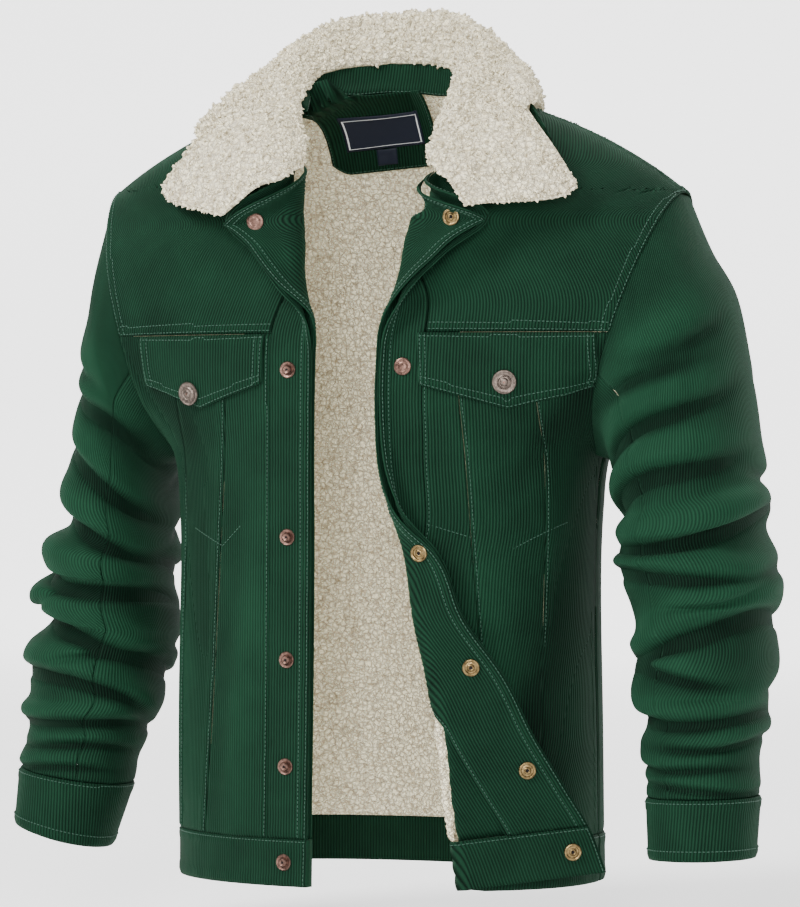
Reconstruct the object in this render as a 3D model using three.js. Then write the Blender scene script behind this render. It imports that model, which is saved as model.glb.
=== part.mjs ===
// A corduroy jacket lined and collared with sherpa pile, open at the front and hollow as worn.
// Millimetres. +X is the wearer's left, -Y the front, +Z up; the origin lies between the shoulders.
import * as THREE from 'three';

// Driving sizes
const HEM_Z = -640;
const BAND_TOP_Z = -601;
const YOKE_FRONT_Z = -184;
const YOKE_BACK_Z = -150;
const ARMPIT_Z = -283;
const ARMPIT_X = 187;
const SHOULDER_X = { R: 246, L: 259 };
const NECK_X = 78;
const NECK_Z = 22;
const SEAM_Y = 4;
const SHOULDER_ROLL = 140;
const PLAN_ROUND = 2.25;
const ROLL_ROUND = 2.2;
const CLOTH = 1.7;
const PILE = 6;
const FACING_GAP = 4.6;
const LINING_GAP = 4.4;
const LAPEL_PAD = 2.6;
const COLLAR_PILE = 7.5;
const SLEEVE_WALL = 2;
const ARMHOLE_GAP = 2.8;
const SKIN = 0.2;
const SEAM = 0.4;
// The front and back round over level at the shoulder line, so this height leaves 0.5 mm between them.
const SHOULDER_SEAM = 0.0001;
const PLACKET = 38;
const FACING = 66;
const FLAP_ROLL = 8;
const PANEL_STEPS = 48;
const UPPER_ROWS = 6;
const COLUMN_GAP = 0.6;
const ROLL_COLUMNS = 6;
const BACK_COLUMNS = 16;
const ROLL_STEPS = 16;

// The body ring at each height: half width, and how far front and back stand off the shoulder seam.
const BODY = [
  { z: -640, half: 182, front: 130, back: 113 },
  { z: -520, half: 181, front: 131, back: 112 },
  { z: -400, half: 180, front: 132, back: 111 },
  { z: -330, half: 182, front: 131, back: 111 },
  { z: -283, half: 188, front: 130, back: 112 },
  { z: -262, half: 203, front: 129, back: 113 },
  { z: -235, half: 236, front: 128, back: 114 },
  { z: -190, half: 284, front: 126, back: 115 },
  { z: -140, half: 304, front: 121, back: 112 },
  { z: -60, half: 310, front: 114, back: 106 },
  { z: 40, half: 310, front: 108, back: 100 },
];

// Each front: where it rolls open, how much cloth lies beyond the roll, and how far that is turned over.
const FRONTS = {
  R: [
    { z: -640, roll: 31, flap: 3, turn: 8, rise: 0 },
    { z: -400, roll: 27, flap: 3, turn: 8, rise: 0 },
    { z: -205, roll: 28, flap: 3, turn: 10, rise: 0 },
    { z: -178, roll: 34, flap: 4, turn: 60, rise: 0 },
    { z: -150, roll: 42, flap: 12, turn: 140, rise: 0 },
    { z: -116, roll: 47, flap: 30, turn: 164, rise: 0 },
    { z: -88, roll: 51, flap: 50, turn: 168, rise: 0 },
    { z: -42, roll: 53, flap: 4, turn: 60, rise: 0 },
    { z: -30, roll: 53, flap: 1, turn: 6, rise: 0 },
    { z: 8, roll: 71, flap: 1, turn: 4, rise: 0 },
    { z: 30, roll: 81, flap: 1, turn: 4, rise: 0 },
  ],
  L: [
    { z: -640, roll: 118, flap: 116, turn: 178, rise: 0.12 },
    { z: -603, roll: 113, flap: 107, turn: 178, rise: 0.12 },
    { z: -567, roll: 108, flap: 91, turn: 178, rise: 0.12 },
    { z: -523, roll: 104, flap: 70, turn: 178, rise: 0.11 },
    { z: -471, roll: 95, flap: 56, turn: 176, rise: 0.1 },
    { z: -421, roll: 84, flap: 36, turn: 172, rise: 0.08 },
    { z: -365, roll: 76, flap: 24, turn: 164, rise: 0.04 },
    { z: -325, roll: 63, flap: 10, turn: 125, rise: 0 },
    { z: -280, roll: 52, flap: 5, turn: 80, rise: 0 },
    { z: -235, roll: 47, flap: 4, turn: 60, rise: 0 },
    { z: -190, roll: 49, flap: 4, turn: 64, rise: 0 },
    { z: -155, roll: 63, flap: 8, turn: 130, rise: 0 },
    { z: -120, roll: 72, flap: 30, turn: 164, rise: 0 },
    { z: -86, roll: 82, flap: 53, turn: 168, rise: 0 },
    { z: -52, roll: 86, flap: 4, turn: 60, rise: 0 },
    { z: -40, roll: 84, flap: 1, turn: 6, rise: 0 },
    { z: 0, roll: 80, flap: 1, turn: 4, rise: 0 },
    { z: 30, roll: 76, flap: 1, turn: 4, rise: 0 },
  ],
};
const GORGE_Z = { R: -42, L: -52 };
const LAPEL_HEIGHTS = [-162, -146, -130, -116, -101, -88, -74, -60];
const LOWER_HEIGHTS = {
  R: [-500, -400, -330, -283, -264, -230],
  L: [-566, -538, -514, -488, -462, -430, -396, -364, -325, -283, -230],
};

// The two long seams of each front below the yoke, as distances from the centre line.
const SEAMS = {
  R: [
    { z: -640, inner: 133, outer: 163 },
    { z: -450, inner: 118, outer: 160 },
    { z: -184, inner: 100, outer: 154 },
  ],
  L: [
    { z: -640, inner: 128, outer: 156 },
    { z: -425, inner: 114, outer: 158 },
    { z: -184, inner: 98, outer: 162 },
  ],
};

const FLAPS = {
  R: { near: 66, far: 188, side: 40, tip: 60, buttonX: 137, buttonZ: -232 },
  L: { near: 68, far: 210, side: 42, tip: 61, buttonX: 138, buttonZ: -224 },
};
const SNAPS = [
  { rightZ: -91, rightIn: 29, leftZ: -91, leftIn: 29, stud: 0.5, back: 5, socket: 4.6, cap: 0.7 },
  { rightZ: -214, rightIn: 21, leftZ: -212, leftIn: 21, stud: 0.4, back: 0.4, socket: 0.4, cap: 0.4 },
  { rightZ: -352, rightIn: 21, leftZ: -364, leftIn: 13, stud: 0.4, back: 0.6, socket: 0.5, cap: 1.2 },
  { rightZ: -453, rightIn: 21, leftZ: -461, leftIn: 21, stud: 0.4, back: 0.6, socket: 0.5, cap: 0.8 },
  { rightZ: -541, rightIn: 21, leftZ: -550, leftIn: 21, stud: 0.4, back: 0.6, socket: 0.4, cap: 0.5 },
  { rightZ: -620, rightIn: 21, leftZ: -620, leftIn: 21, stud: 0.3, back: 0.6, socket: 0.3, cap: 1.1 },
];

// Sleeve sections: outer and inner ends of each ring, its middle in Y and its half depth.
// A row stands at each bulge and each crease of the bunched cloth.
const SLEEVES = {
  R: [
    { outX: 253, outZ: -112, inX: 205, inZ: -290, midY: -2, deep: 86 },
    { outX: 261, outZ: -158, inX: 206, inZ: -300, midY: -2, deep: 83 },
    { outX: 269, outZ: -215, inX: 207, inZ: -312, midY: -3, deep: 80 },
    { outX: 276, outZ: -266, inX: 208, inZ: -326, midY: -3, deep: 78 },
    { outX: 285, outZ: -308, inX: 209, inZ: -342, midY: -3, deep: 77 },
    { outX: 282, outZ: -341, inX: 210, inZ: -363, midY: -2, deep: 72 },
    { outX: 305, outZ: -360, inX: 208, inZ: -381, midY: -1, deep: 76 },
    { outX: 299, outZ: -381, inX: 211, inZ: -399, midY: 0, deep: 71 },
    { outX: 315, outZ: -403, inX: 205, inZ: -417, midY: 0, deep: 75 },
    { outX: 305, outZ: -426, inX: 207, inZ: -436, midY: 0, deep: 68 },
    { outX: 323, outZ: -447, inX: 205, inZ: -454, midY: -3, deep: 70 },
    { outX: 323, outZ: -474, inX: 211, inZ: -474, midY: -9, deep: 66 },
    { outX: 321, outZ: -493, inX: 211, inZ: -497, midY: -14, deep: 60 },
    { outX: 327, outZ: -507, inX: 221, inZ: -514, midY: -18, deep: 60 },
    { outX: 319, outZ: -518, inX: 222, inZ: -528, midY: -22, deep: 54 },
    { outX: 321, outZ: -534, inX: 228, inZ: -547, midY: -28, deep: 52 },
    { outX: 323, outZ: -552, inX: 229, inZ: -567, midY: -34, deep: 49 },
    { outX: 320, outZ: -598, inX: 242, inZ: -620, midY: -50, deep: 46 },
  ],
  L: [
    { outX: 277, outZ: -112, inX: 205, inZ: -290, midY: -2, deep: 87 },
    { outX: 299, outZ: -150, inX: 206, inZ: -298, midY: -3, deep: 85 },
    { outX: 311, outZ: -205, inX: 207, inZ: -308, midY: -4, deep: 82 },
    { outX: 320, outZ: -258, inX: 208, inZ: -320, midY: -6, deep: 80 },
    { outX: 323, outZ: -304, inX: 217, inZ: -336, midY: -8, deep: 76 },
    { outX: 332, outZ: -324, inX: 214, inZ: -350, midY: -9, deep: 78 },
    { outX: 327, outZ: -345, inX: 209, inZ: -370, midY: -10, deep: 73 },
    { outX: 341, outZ: -384, inX: 216, inZ: -390, midY: -14, deep: 76 },
    { outX: 336, outZ: -412, inX: 224, inZ: -408, midY: -17, deep: 68 },
    { outX: 341, outZ: -447, inX: 233, inZ: -430, midY: -22, deep: 70 },
    { outX: 338, outZ: -468, inX: 227, inZ: -460, midY: -27, deep: 64 },
    { outX: 334, outZ: -483, inX: 230, inZ: -480, midY: -31, deep: 58 },
    { outX: 338, outZ: -499, inX: 242, inZ: -502, midY: -36, deep: 59 },
    { outX: 332, outZ: -524, inX: 238, inZ: -519, midY: -42, deep: 53 },
    { outX: 333, outZ: -541, inX: 244, inZ: -540, midY: -48, deep: 50 },
    { outX: 335, outZ: -560, inX: 246, inZ: -562, midY: -54, deep: 47 },
    { outX: 333, outZ: -609, inX: 251, inZ: -611, midY: -64, deep: 45 },
  ],
};
const CUFF_ROWS = 2;

// Collar sections from the middle of the back to each front end: the neck seam, the fold, and the free edge.
const COLLAR = {
  R: [
    { neckX: -20, foldX: -20, foldY: 76, foldZ: 90, edgeX: -22, edgeZ: 10, face: 'back', lift: 8 },
    { neckX: -58, foldX: -68, foldY: 60, foldZ: 84, edgeX: -92, edgeZ: 0, face: 'back', lift: 10 },
    { neckX: -77, foldX: -90, foldY: 22, foldZ: 62, edgeX: -116, edgeZ: 2, face: 'back', lift: 15 },
    { neckZ: 16, foldX: -86, foldY: -24, foldZ: 34, edgeX: -134, edgeZ: -26, face: 'front', lift: 18 },
    { neckZ: -8, foldX: -73, foldY: -74, foldZ: 4, edgeX: -158, edgeZ: -68, face: 'front', lift: 13 },
    { neckZ: -30, foldX: -53, foldY: -108, foldZ: -28, edgeX: -98, edgeZ: -90, face: 'front', lift: 30 },
  ],
  L: [
    { neckX: -20, foldX: -20, foldY: 76, foldZ: 90, edgeX: -22, edgeZ: 10, face: 'back', lift: 8 },
    { neckX: 20, foldX: 28, foldY: 70, foldZ: 88, edgeX: 40, edgeZ: 3, face: 'back', lift: 9 },
    { neckX: 54, foldX: 66, foldY: 44, foldZ: 67, edgeX: 96, edgeZ: -2, face: 'back', lift: 16 },
    { neckZ: 20, foldX: 80, foldY: 0, foldZ: 42, edgeX: 138, edgeZ: -17, face: 'front', lift: 25 },
    { neckZ: -10, foldX: 86, foldY: -58, foldZ: 8, edgeX: 184, edgeZ: -74, face: 'front', lift: 15 },
    { neckZ: -38, foldX: 86, foldY: -112, foldZ: -38, edgeX: 112, edgeZ: -89, face: 'front', lift: 34 },
  ],
};
const STAND_SHARE = 0.13;
const COLLAR_GAP = 1.5;
const NECK_INSET = { back: 4.8, front: 13 };

const COLOURS = { corduroy: 0x17432d, sherpa: 0xddd5bf, metal: 0x8a6a4a, navy: 0x1d2230 };

const group = new THREE.Group();

function finish(name, roughness, metalness) {
  return new THREE.MeshStandardMaterial({ color: COLOURS[name], roughness, metalness });
}

function addPiece(name, geometry, material) {
  const mesh = new THREE.Mesh(geometry, material);
  mesh.name = name;
  group.add(mesh);
}

const corduroy = () => finish('corduroy', 0.85, 0);
const sherpa = () => finish('sherpa', 0.95, 0);
const metal = () => finish('metal', 0.4, 0.9);
const navy = () => finish('navy', 0.7, 0);

// A smooth curve through one column of a table, read at any place along its key.
function readRow(rows, key, name, at) {
  const last = rows.length - 1;
  let i = 0;
  while (i < last - 1 && at > rows[i + 1][key]) i += 1;
  const span = rows[i + 1][key] - rows[i][key];
  const t = Math.min(Math.max((at - rows[i][key]) / span, 0), 1);
  const slope = (k) => {
    const before = rows[Math.max(k - 1, 0)];
    const after = rows[Math.min(k + 1, last)];
    return (after[name] - before[name]) / (after[key] - before[key]);
  };
  const start = rows[i][name];
  const end = rows[i + 1][name];
  const t2 = t * t;
  const t3 = t2 * t;
  return (2 * t3 - 3 * t2 + 1) * start + (t3 - 2 * t2 + t) * span * slope(i)
    + (3 * t2 - 2 * t3) * end + (t3 - t2) * span * slope(i + 1);
}

// Height of the shoulder seam over a point; inside the neck it runs on as a virtual line.
function shoulderHeight(x) {
  const out = Math.abs(x) - NECK_X;
  if (out < 0) return NECK_Z - 0.45 * out;
  return NECK_Z - 0.33 * out - 5e-6 * out ** 3;
}

// Y of the body cloth at a place seen from the front: a rounded ring that rolls back over the shoulder.
function bodyY(face, x, z) {
  const half = readRow(BODY, 'z', 'half', z);
  const across = Math.min(Math.abs(x) / half, 1);
  const side = (1 - across ** PLAN_ROUND) ** (1 / PLAN_ROUND);
  const drop = Math.min(Math.max((shoulderHeight(x) - z) / SHOULDER_ROLL, 0), 1);
  const roll = (1 - (1 - drop) ** ROLL_ROUND) ** (1 / ROLL_ROUND);
  const reach = readRow(BODY, 'z', face, z) * side * roll;
  return face === 'front' ? SEAM_Y - reach : SEAM_Y + reach;
}

// Half width where a panel ends: the side seam low down, the armhole seam higher up.
function edgeX(side, z) {
  if (z <= ARMPIT_Z) return readRow(BODY, 'z', 'half', z);
  const top = SHOULDER_X[side];
  const share = (z - ARMPIT_Z) / (shoulderHeight(top) - ARMPIT_Z);
  return ARMPIT_X + (top - ARMPIT_X) * Math.min(share, 1);
}

function ringX(z, angle) {
  return readRow(BODY, 'z', 'half', z) * Math.abs(Math.cos(angle)) ** (2 / PLAN_ROUND);
}

function ringAngle(z, x) {
  const share = Math.min(x / readRow(BODY, 'z', 'half', z), 1);
  return Math.acos(share ** (PLAN_ROUND / 2));
}

// One front at one height, seen from above, from its side or armhole seam to its free edge.
const planCache = new Map();
function frontPlan(side, z) {
  const key = `${side}${z.toFixed(3)}`;
  if (planCache.has(key)) return planCache.get(key);
  const rows = FRONTS[side];
  const rollX = readRow(rows, 'z', 'roll', z);
  const flap = Math.max(readRow(rows, 'z', 'flap', z), 0.5);
  const turn = Math.max(readRow(rows, 'z', 'turn', z), 0) * Math.PI / 180;
  const start = ringAngle(z, edgeX(side, z));
  const end = ringAngle(z, rollX);
  const points = [];
  for (let i = 0; i <= PANEL_STEPS; i += 1) {
    const x = ringX(z, start + (end - start) * i / PANEL_STEPS);
    points.push([x, bodyY('front', x, z)]);
  }
  const [x0, y0] = points[PANEL_STEPS];
  const [xb, yb] = points[PANEL_STEPS - 1];
  const length = Math.hypot(x0 - xb, y0 - yb);
  const tx = (x0 - xb) / length;
  const ty = (y0 - yb) / length;
  const nx = ty;
  const ny = -Math.abs(tx);
  for (let i = 1; i <= ROLL_STEPS; i += 1) {
    const a = turn * i / ROLL_STEPS;
    const along = FLAP_ROLL * Math.sin(a);
    const out = FLAP_ROLL * (1 - Math.cos(a));
    points.push([x0 + tx * along + nx * out, y0 + ty * along + ny * out]);
  }
  const [xr, yr] = points[points.length - 1];
  const dx = tx * Math.cos(turn) + nx * Math.sin(turn);
  const dy = ty * Math.cos(turn) + ny * Math.sin(turn);
  points.push([xr + dx * flap, yr + dy * flap]);
  const lengths = [0];
  for (let i = 1; i < points.length; i += 1) {
    const step = Math.hypot(points[i][0] - points[i - 1][0], points[i][1] - points[i - 1][1]);
    lengths.push(lengths[i - 1] + step);
  }
  const total = lengths[lengths.length - 1];
  const rise = readRow(rows, 'z', 'rise', z);
  const plan = { points, lengths, total, flap, rolled: total - lengths[PANEL_STEPS], rise };
  planCache.set(key, plan);
  return plan;
}

const sign = (side) => (side === 'L' ? 1 : -1);

// A point of a front at a distance from its free edge, measured along the cloth.
function frontPoint(side, fromEdge, z) {
  const { points, lengths, total, rise } = frontPlan(side, z);
  const at = Math.min(Math.max(total - fromEdge, 0), total);
  let i = 1;
  while (i < lengths.length - 1 && lengths[i] < at) i += 1;
  const t = (at - lengths[i - 1]) / (lengths[i] - lengths[i - 1]);
  const x = points[i - 1][0] + (points[i][0] - points[i - 1][0]) * t;
  const y = points[i - 1][1] + (points[i][1] - points[i - 1][1]) * t;
  const beyondRoll = Math.max(at - lengths[PANEL_STEPS], 0);
  return new THREE.Vector3(sign(side) * x, y, z + rise * beyondRoll);
}

// Distance from the free edge of the place on a front that lies this far from the centre line.
function fromEdgeAt(side, x, z) {
  const { points, lengths, total } = frontPlan(side, z);
  let i = 1;
  while (i < PANEL_STEPS && points[i][0] > x) i += 1;
  const t = (points[i - 1][0] - x) / (points[i - 1][0] - points[i][0]);
  return total - lengths[i - 1] - (lengths[i] - lengths[i - 1]) * Math.min(Math.max(t, 0), 1);
}

// A point of the back: across runs 0 to 1 from the wearer's right seam to the left one.
function backPoint(across, z) {
  const start = ringAngle(z, edgeX('R', z));
  const end = Math.PI - ringAngle(z, edgeX('L', z));
  const angle = start + (end - start) * across;
  const x = -ringX(z, angle) * Math.sign(Math.cos(angle) || 1);
  return new THREE.Vector3(x, bodyY('back', x, z), z);
}

function backNeckHeight(x) {
  return 35 - 12 * ((x + 8) / 72) ** 2;
}

// The height where a column of cloth meets the shoulder seam or the neck seam.
function topOf(column, limit) {
  let low = -140;
  let high = 60;
  for (let i = 0; i < 30; i += 1) {
    const middle = (low + high) / 2;
    if (middle < limit(column(middle).x)) low = middle;
    else high = middle;
  }
  return low;
}

function surfaceNormal(surface, a, b, stepA, stepB) {
  const alongA = surface(a + stepA, b).sub(surface(a - stepA, b));
  const alongB = surface(a, b + stepB).sub(surface(a, b - stepB));
  return alongA.cross(alongB).normalize();
}

// A closed wall from a grid of base points and normals, between two offsets.
function wallBetween(columns, rows, place, outer, inner, round = false) {
  const across = round ? columns : columns + 1;
  const positions = [];
  for (const offset of [outer, inner]) {
    for (let j = 0; j <= rows; j += 1) {
      for (let i = 0; i < across; i += 1) {
        const { point, normal } = place(i / columns, j / rows);
        const reach = typeof offset === 'function' ? offset(i / columns, j / rows) : offset;
        const p = point.clone().addScaledVector(normal, reach);
        positions.push(p.x, p.y, p.z);
      }
    }
  }
  const layer = across * (rows + 1);
  const id = (k, i, j) => k * layer + j * across + (i % across);
  const faces = [];
  const quad = (a, b, c, d) => faces.push(a, b, c, a, c, d);
  for (let j = 0; j < rows; j += 1) {
    for (let i = 0; i < columns; i += 1) {
      quad(id(0, i, j), id(0, i + 1, j), id(0, i + 1, j + 1), id(0, i, j + 1));
      quad(id(1, i, j), id(1, i, j + 1), id(1, i + 1, j + 1), id(1, i + 1, j));
    }
  }
  for (let i = 0; i < columns; i += 1) {
    quad(id(0, i + 1, 0), id(0, i, 0), id(1, i, 0), id(1, i + 1, 0));
    quad(id(0, i, rows), id(0, i + 1, rows), id(1, i + 1, rows), id(1, i, rows));
  }
  for (let j = 0; j < rows && !round; j += 1) {
    quad(id(0, 0, j), id(0, 0, j + 1), id(1, 0, j + 1), id(1, 0, j));
    quad(id(0, columns, j + 1), id(0, columns, j), id(1, columns, j), id(1, columns, j + 1));
  }
  return facingOut(positions, faces);
}

// Turns the faces round where the volume they close is negative.
function facingOut(positions, faces) {
  let volume = 0;
  const p = (k) => new THREE.Vector3(positions[3 * k], positions[3 * k + 1], positions[3 * k + 2]);
  for (let i = 0; i < faces.length; i += 3) volume += p(faces[i]).dot(p(faces[i + 1]).cross(p(faces[i + 2])));
  if (volume < 0) {
    for (let i = 0; i < faces.length; i += 3) [faces[i + 1], faces[i + 2]] = [faces[i + 2], faces[i + 1]];
  }
  const geometry = new THREE.BufferGeometry();
  geometry.setAttribute('position', new THREE.Float32BufferAttribute(positions, 3));
  geometry.setIndex(faces);
  return geometry;
}

const outerCloth = [SKIN + CLOTH, SKIN];
const bandLayer = [SKIN + CLOTH + 0.5, -FACING_GAP - CLOTH - 0.6];
const innerPile = [-LINING_GAP, -LINING_GAP - PILE];
const innerCloth = [-FACING_GAP, -FACING_GAP - CLOTH];

// Row heights of a grid: given heights below the yoke seam, then closer together towards the shoulder seam.
function evenRows(low, high, count) {
  return Array.from({ length: count + 1 }, (_, i) => () => low + (high - low) * i / count);
}

function rowsBetween(side, low, high) {
  return [low, ...LOWER_HEIGHTS[side].filter((z) => z < high - 12), high].map((z) => () => z);
}

function shoulderRows(yoke, count) {
  return Array.from({ length: count + 1 }, (_, i) => (top) => top - (top - yoke) * (1 - i / count) ** 2);
}

// Rows above the front yoke seam: at the edge beside the lapel they have the lapel's own heights.
function lapelRows(side, fromEdge) {
  const yoke = YOKE_FRONT_Z + SEAM;
  const gorge = GORGE_Z[side];
  const top = topOf((z) => frontPoint(side, fromEdge(z), z), shoulderHeight) - SHOULDER_SEAM;
  const heights = [yoke, ...LAPEL_HEIGHTS, gorge, gorge + (top - gorge) * 0.5, top];
  return heights.map((z) => (columnTop) => yoke + (columnTop - yoke) * (z - yoke) / (top - yoke));
}

// Spreads a strip's columns so that some always follow the roll of the front.
function rollColumn(side, z, from, to, index, columns) {
  if (index === 0) return from;
  const { flap, rolled } = frontPlan(side, z);
  if (index === 1) return from + Math.max(Math.min(flap, to) - from, 4 * COLUMN_GAP) / 2;
  const wanted = flap + (rolled - flap) * (index - 2) / (ROLL_COLUMNS - 2);
  const gap = Math.min(COLUMN_GAP, (to - from) / (columns + 6));
  return Math.max(Math.min(wanted, to - (columns - index) * gap), from + index * gap);
}

function columnAt(side, z, from, to, u, columns, rolls) {
  if (!rolls) return from + (to - from) * u;
  const index = Math.round(u * columns);
  if (index <= ROLL_COLUMNS) return rollColumn(side, z, from, to, index, columns);
  const last = rollColumn(side, z, from, to, ROLL_COLUMNS, columns);
  return last + (to - last) * (index - ROLL_COLUMNS) / (columns - ROLL_COLUMNS);
}

// Extra room between the two layers of a lapel.
function lapelPad(side, z) {
  const below = (z + 130) / 20;
  const above = (GORGE_Z[side] + 6 - z) / 10;
  return LAPEL_PAD * Math.min(Math.max(Math.min(below, above), 0), 1);
}

// A piece of a front between two distances from its free edge, with the given rows of heights.
function frontPiece(side, from, to, rows, columns, layer, rolls = false) {
  const surface = (a, z) => frontPoint(side, a, z);
  const fromEdge = (u, z) => columnAt(side, z, from(z), to(z), u, columns, rolls);
  const last = rows.length - 1;
  const place = (u, v) => {
    const top = topOf((z) => surface(fromEdge(u, z), z), shoulderHeight) - SHOULDER_SEAM;
    const z = rows[Math.round(v * last)](top);
    const a = fromEdge(u, z);
    const normal = surfaceNormal(surface, a, z, 0.8, 0.8);
    if (side === 'R') normal.negate();
    const point = surface(a, z).addScaledVector(normal, layer === innerCloth ? -lapelPad(side, z) : 0);
    return { point, normal };
  };
  return wallBetween(columns, last, place, layer[0], layer[1]);
}

function backPiece(rows, columns, layer) {
  const last = rows.length - 1;
  const limit = (x) => (Math.abs(x) < NECK_X ? Math.min(shoulderHeight(x), backNeckHeight(x)) : shoulderHeight(x));
  const place = (u, v) => {
    const top = topOf((z) => backPoint(u, z), limit) - SHOULDER_SEAM;
    const z = rows[Math.round(v * last)](top);
    const inset = SEAM / backPoint(1, z).distanceTo(backPoint(0, z));
    const across = inset + (1 - 2 * inset) * u;
    const normal = surfaceNormal(backPoint, across, z, 0.002, 0.8).negate();
    return { point: backPoint(across, z), normal };
  };
  return wallBetween(columns, last, place, layer[0], layer[1]);
}

// Share of a strip's width that is left as it runs out under the collar.
function gorgeShare(side, z) {
  return Math.min(Math.max((GORGE_Z[side] - z) / 44, 0.03), 1);
}

function buildFront(side) {
  const width = (z) => frontPlan(side, z).total - SEAM;
  const placketEdge = (z) => PLACKET * gorgeShare(side, z);
  const facingEdge = (z) => FACING * gorgeShare(side, z);
  const seamAt = (name) => (z) => fromEdgeAt(side, readRow(SEAMS[side], 'z', name, z), z);
  const moved = (line, gap) => (z) => line(z) + gap;
  const zero = () => 0;
  const low = BAND_TOP_Z + 2 * SEAM;
  const lowerRows = rowsBetween(side, low, YOKE_FRONT_Z - SEAM);
  const stripRows = [...lowerRows, ...[...LAPEL_HEIGHTS, GORGE_Z[side]].map((z) => () => z)];
  const inner = seamAt('inner');
  const outer = seamAt('outer');
  const add = (name, ...rest) => addPiece(`${name}_${side}`, frontPiece(side, ...rest), corduroy());
  const yokeEdge = moved(placketEdge, 4 * SEAM);
  const liningEdge = moved(facingEdge, 2.8);
  add('placket', zero, placketEdge, stripRows, 8, outerCloth, true);
  add('front_centre', yokeEdge, moved(inner, -SEAM), lowerRows, 9, outerCloth, true);
  add('front_middle', inner, outer, lowerRows, 3, outerCloth);
  add('front_side', moved(outer, SEAM), width, lowerRows, 4, outerCloth);
  add('front_yoke', yokeEdge, width, lapelRows(side, yokeEdge), 13, outerCloth, true);
  add('facing', zero, facingEdge, stripRows, 9, innerCloth, true);
  const liningRows = [...lowerRows, ...lapelRows(side, yokeEdge).slice(1)];
  addPiece(`lining_front_${side}`, frontPiece(side, liningEdge, moved(width, -7), liningRows, 11, innerPile, true),
    sherpa());
  add('band_front', zero, width, evenRows(HEM_Z, BAND_TOP_Z, 1), 20, bandLayer, true);
  buildPocketFlap(side);
}

// The pointed flap hangs from the yoke seam and lies on the front, moved out from its points.
function buildPocketFlap(side) {
  const { near, far, side: sideDrop, tip } = FLAPS[side];
  const surface = (a, z) => frontPoint(side, a, z);
  const lift = SKIN + CLOTH + 0.4;
  const place = (u, v) => {
    const top = YOKE_FRONT_Z - 1.5;
    const drop = sideDrop + (tip - sideDrop) * (1 - Math.abs(2 * u - 1));
    const z = top - drop * v;
    const x = near + (far - near) * u - (2 * u - 1) * 2 * v;
    const a = fromEdgeAt(side, Math.min(x, edgeX(side, z) - 1), z);
    const normal = surfaceNormal(surface, a, z, 0.8, 0.8);
    return { point: surface(a, z), normal: side === 'R' ? normal.negate() : normal };
  };
  const bulge = (u, v) => lift + CLOTH + 1.6 * Math.sin(Math.PI * v * 0.8);
  const under = (u, v) => lift + 1.6 * Math.sin(Math.PI * v * 0.8);
  addPiece(`pocket_flap_${side}`, wallBetween(10, 4, place, bulge, under), corduroy());
}

function buildBack() {
  const low = BAND_TOP_Z + 2 * SEAM;
  const lowerRows = rowsBetween('R', low, YOKE_BACK_Z - SEAM);
  const upperRows = shoulderRows(YOKE_BACK_Z + SEAM, UPPER_ROWS);
  addPiece('back_panel', backPiece(lowerRows, BACK_COLUMNS, outerCloth), corduroy());
  addPiece('back_yoke', backPiece(upperRows, BACK_COLUMNS, outerCloth), corduroy());
  addPiece('lining_back', backPiece([...lowerRows, ...upperRows.slice(1)], BACK_COLUMNS, innerPile), sherpa());
  addPiece('band_back', backPiece(evenRows(HEM_Z, BAND_TOP_Z, 1), BACK_COLUMNS, bandLayer), corduroy());
}

// Patches sewn on the inside of the back lining, each moved in from the lining's own points.
function insideBackPatch(name, left, right, low, high, tilt, corner, depth, thick, columns, rows, material) {
  const surface = (x, z) => new THREE.Vector3(x, bodyY('back', x, z), z);
  const place = (u, v) => {
    const rounding = corner * Math.max(Math.abs(2 * u - 1) - 0.7, 0) ** 2 / 0.09;
    const x = left + (right - left) * u;
    const base = low + rounding + tilt * (x - (left + right) / 2);
    const z = base + (high + tilt * (x - (left + right) / 2) - base) * v;
    const normal = surfaceNormal(surface, x, z, 0.8, 0.8).negate();
    return { point: surface(x, z), normal };
  };
  addPiece(name, wallBetween(columns, rows, place, -depth, -depth - thick), material);
}

function buildNeckPatches() {
  const onPile = LINING_GAP + PILE + 5.8;
  const onPatch = onPile + CLOTH + 0.7;
  insideBackPatch('neck_patch', -82, 20, -30, 24, 0.05, 10, onPile, CLOTH, 8, 4, corduroy());
  insideBackPatch('neck_label', -68, 8, -8, 23, 0.05, 0, onPatch, 0.8, 6, 2, navy());
  insideBackPatch('size_tab', -43, -25, -24, -9, 0.05, 0, onPatch, 0.6, 2, 1, navy());
}

// Armhole seam, right round: forward up the front, then down the back. Angle 0 is the shoulder.
function armholePoint(side, angle) {
  const top = shoulderHeight(SHOULDER_X[side]) - 1;
  const z = ARMPIT_Z + (top - ARMPIT_Z) * (1 + Math.cos(angle)) / 2;
  const x = edgeX(side, z);
  const face = Math.sin(angle) >= 0 ? 'front' : 'back';
  return new THREE.Vector3(sign(side) * x, bodyY(face, x, z), z);
}

function sleeveRing(side, k, angle) {
  if (k === 0) {
    const p = armholePoint(side, angle);
    p.x += sign(side) * ARMHOLE_GAP;
    return p;
  }
  const row = SLEEVES[side][k - 1];
  const c = Math.cos(angle);
  const s = Math.sin(angle);
  const wide = Math.sign(c) * Math.abs(c) ** 0.94;
  const deep = Math.sign(s) * Math.abs(s) ** 0.94;
  const x = (row.outX + row.inX) / 2 + (row.outX - row.inX) / 2 * wide;
  const z = (row.outZ + row.inZ) / 2 + (row.outZ - row.inZ) / 2 * wide;
  return new THREE.Vector3(sign(side) * x, row.midY - row.deep * deep, z);
}

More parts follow.
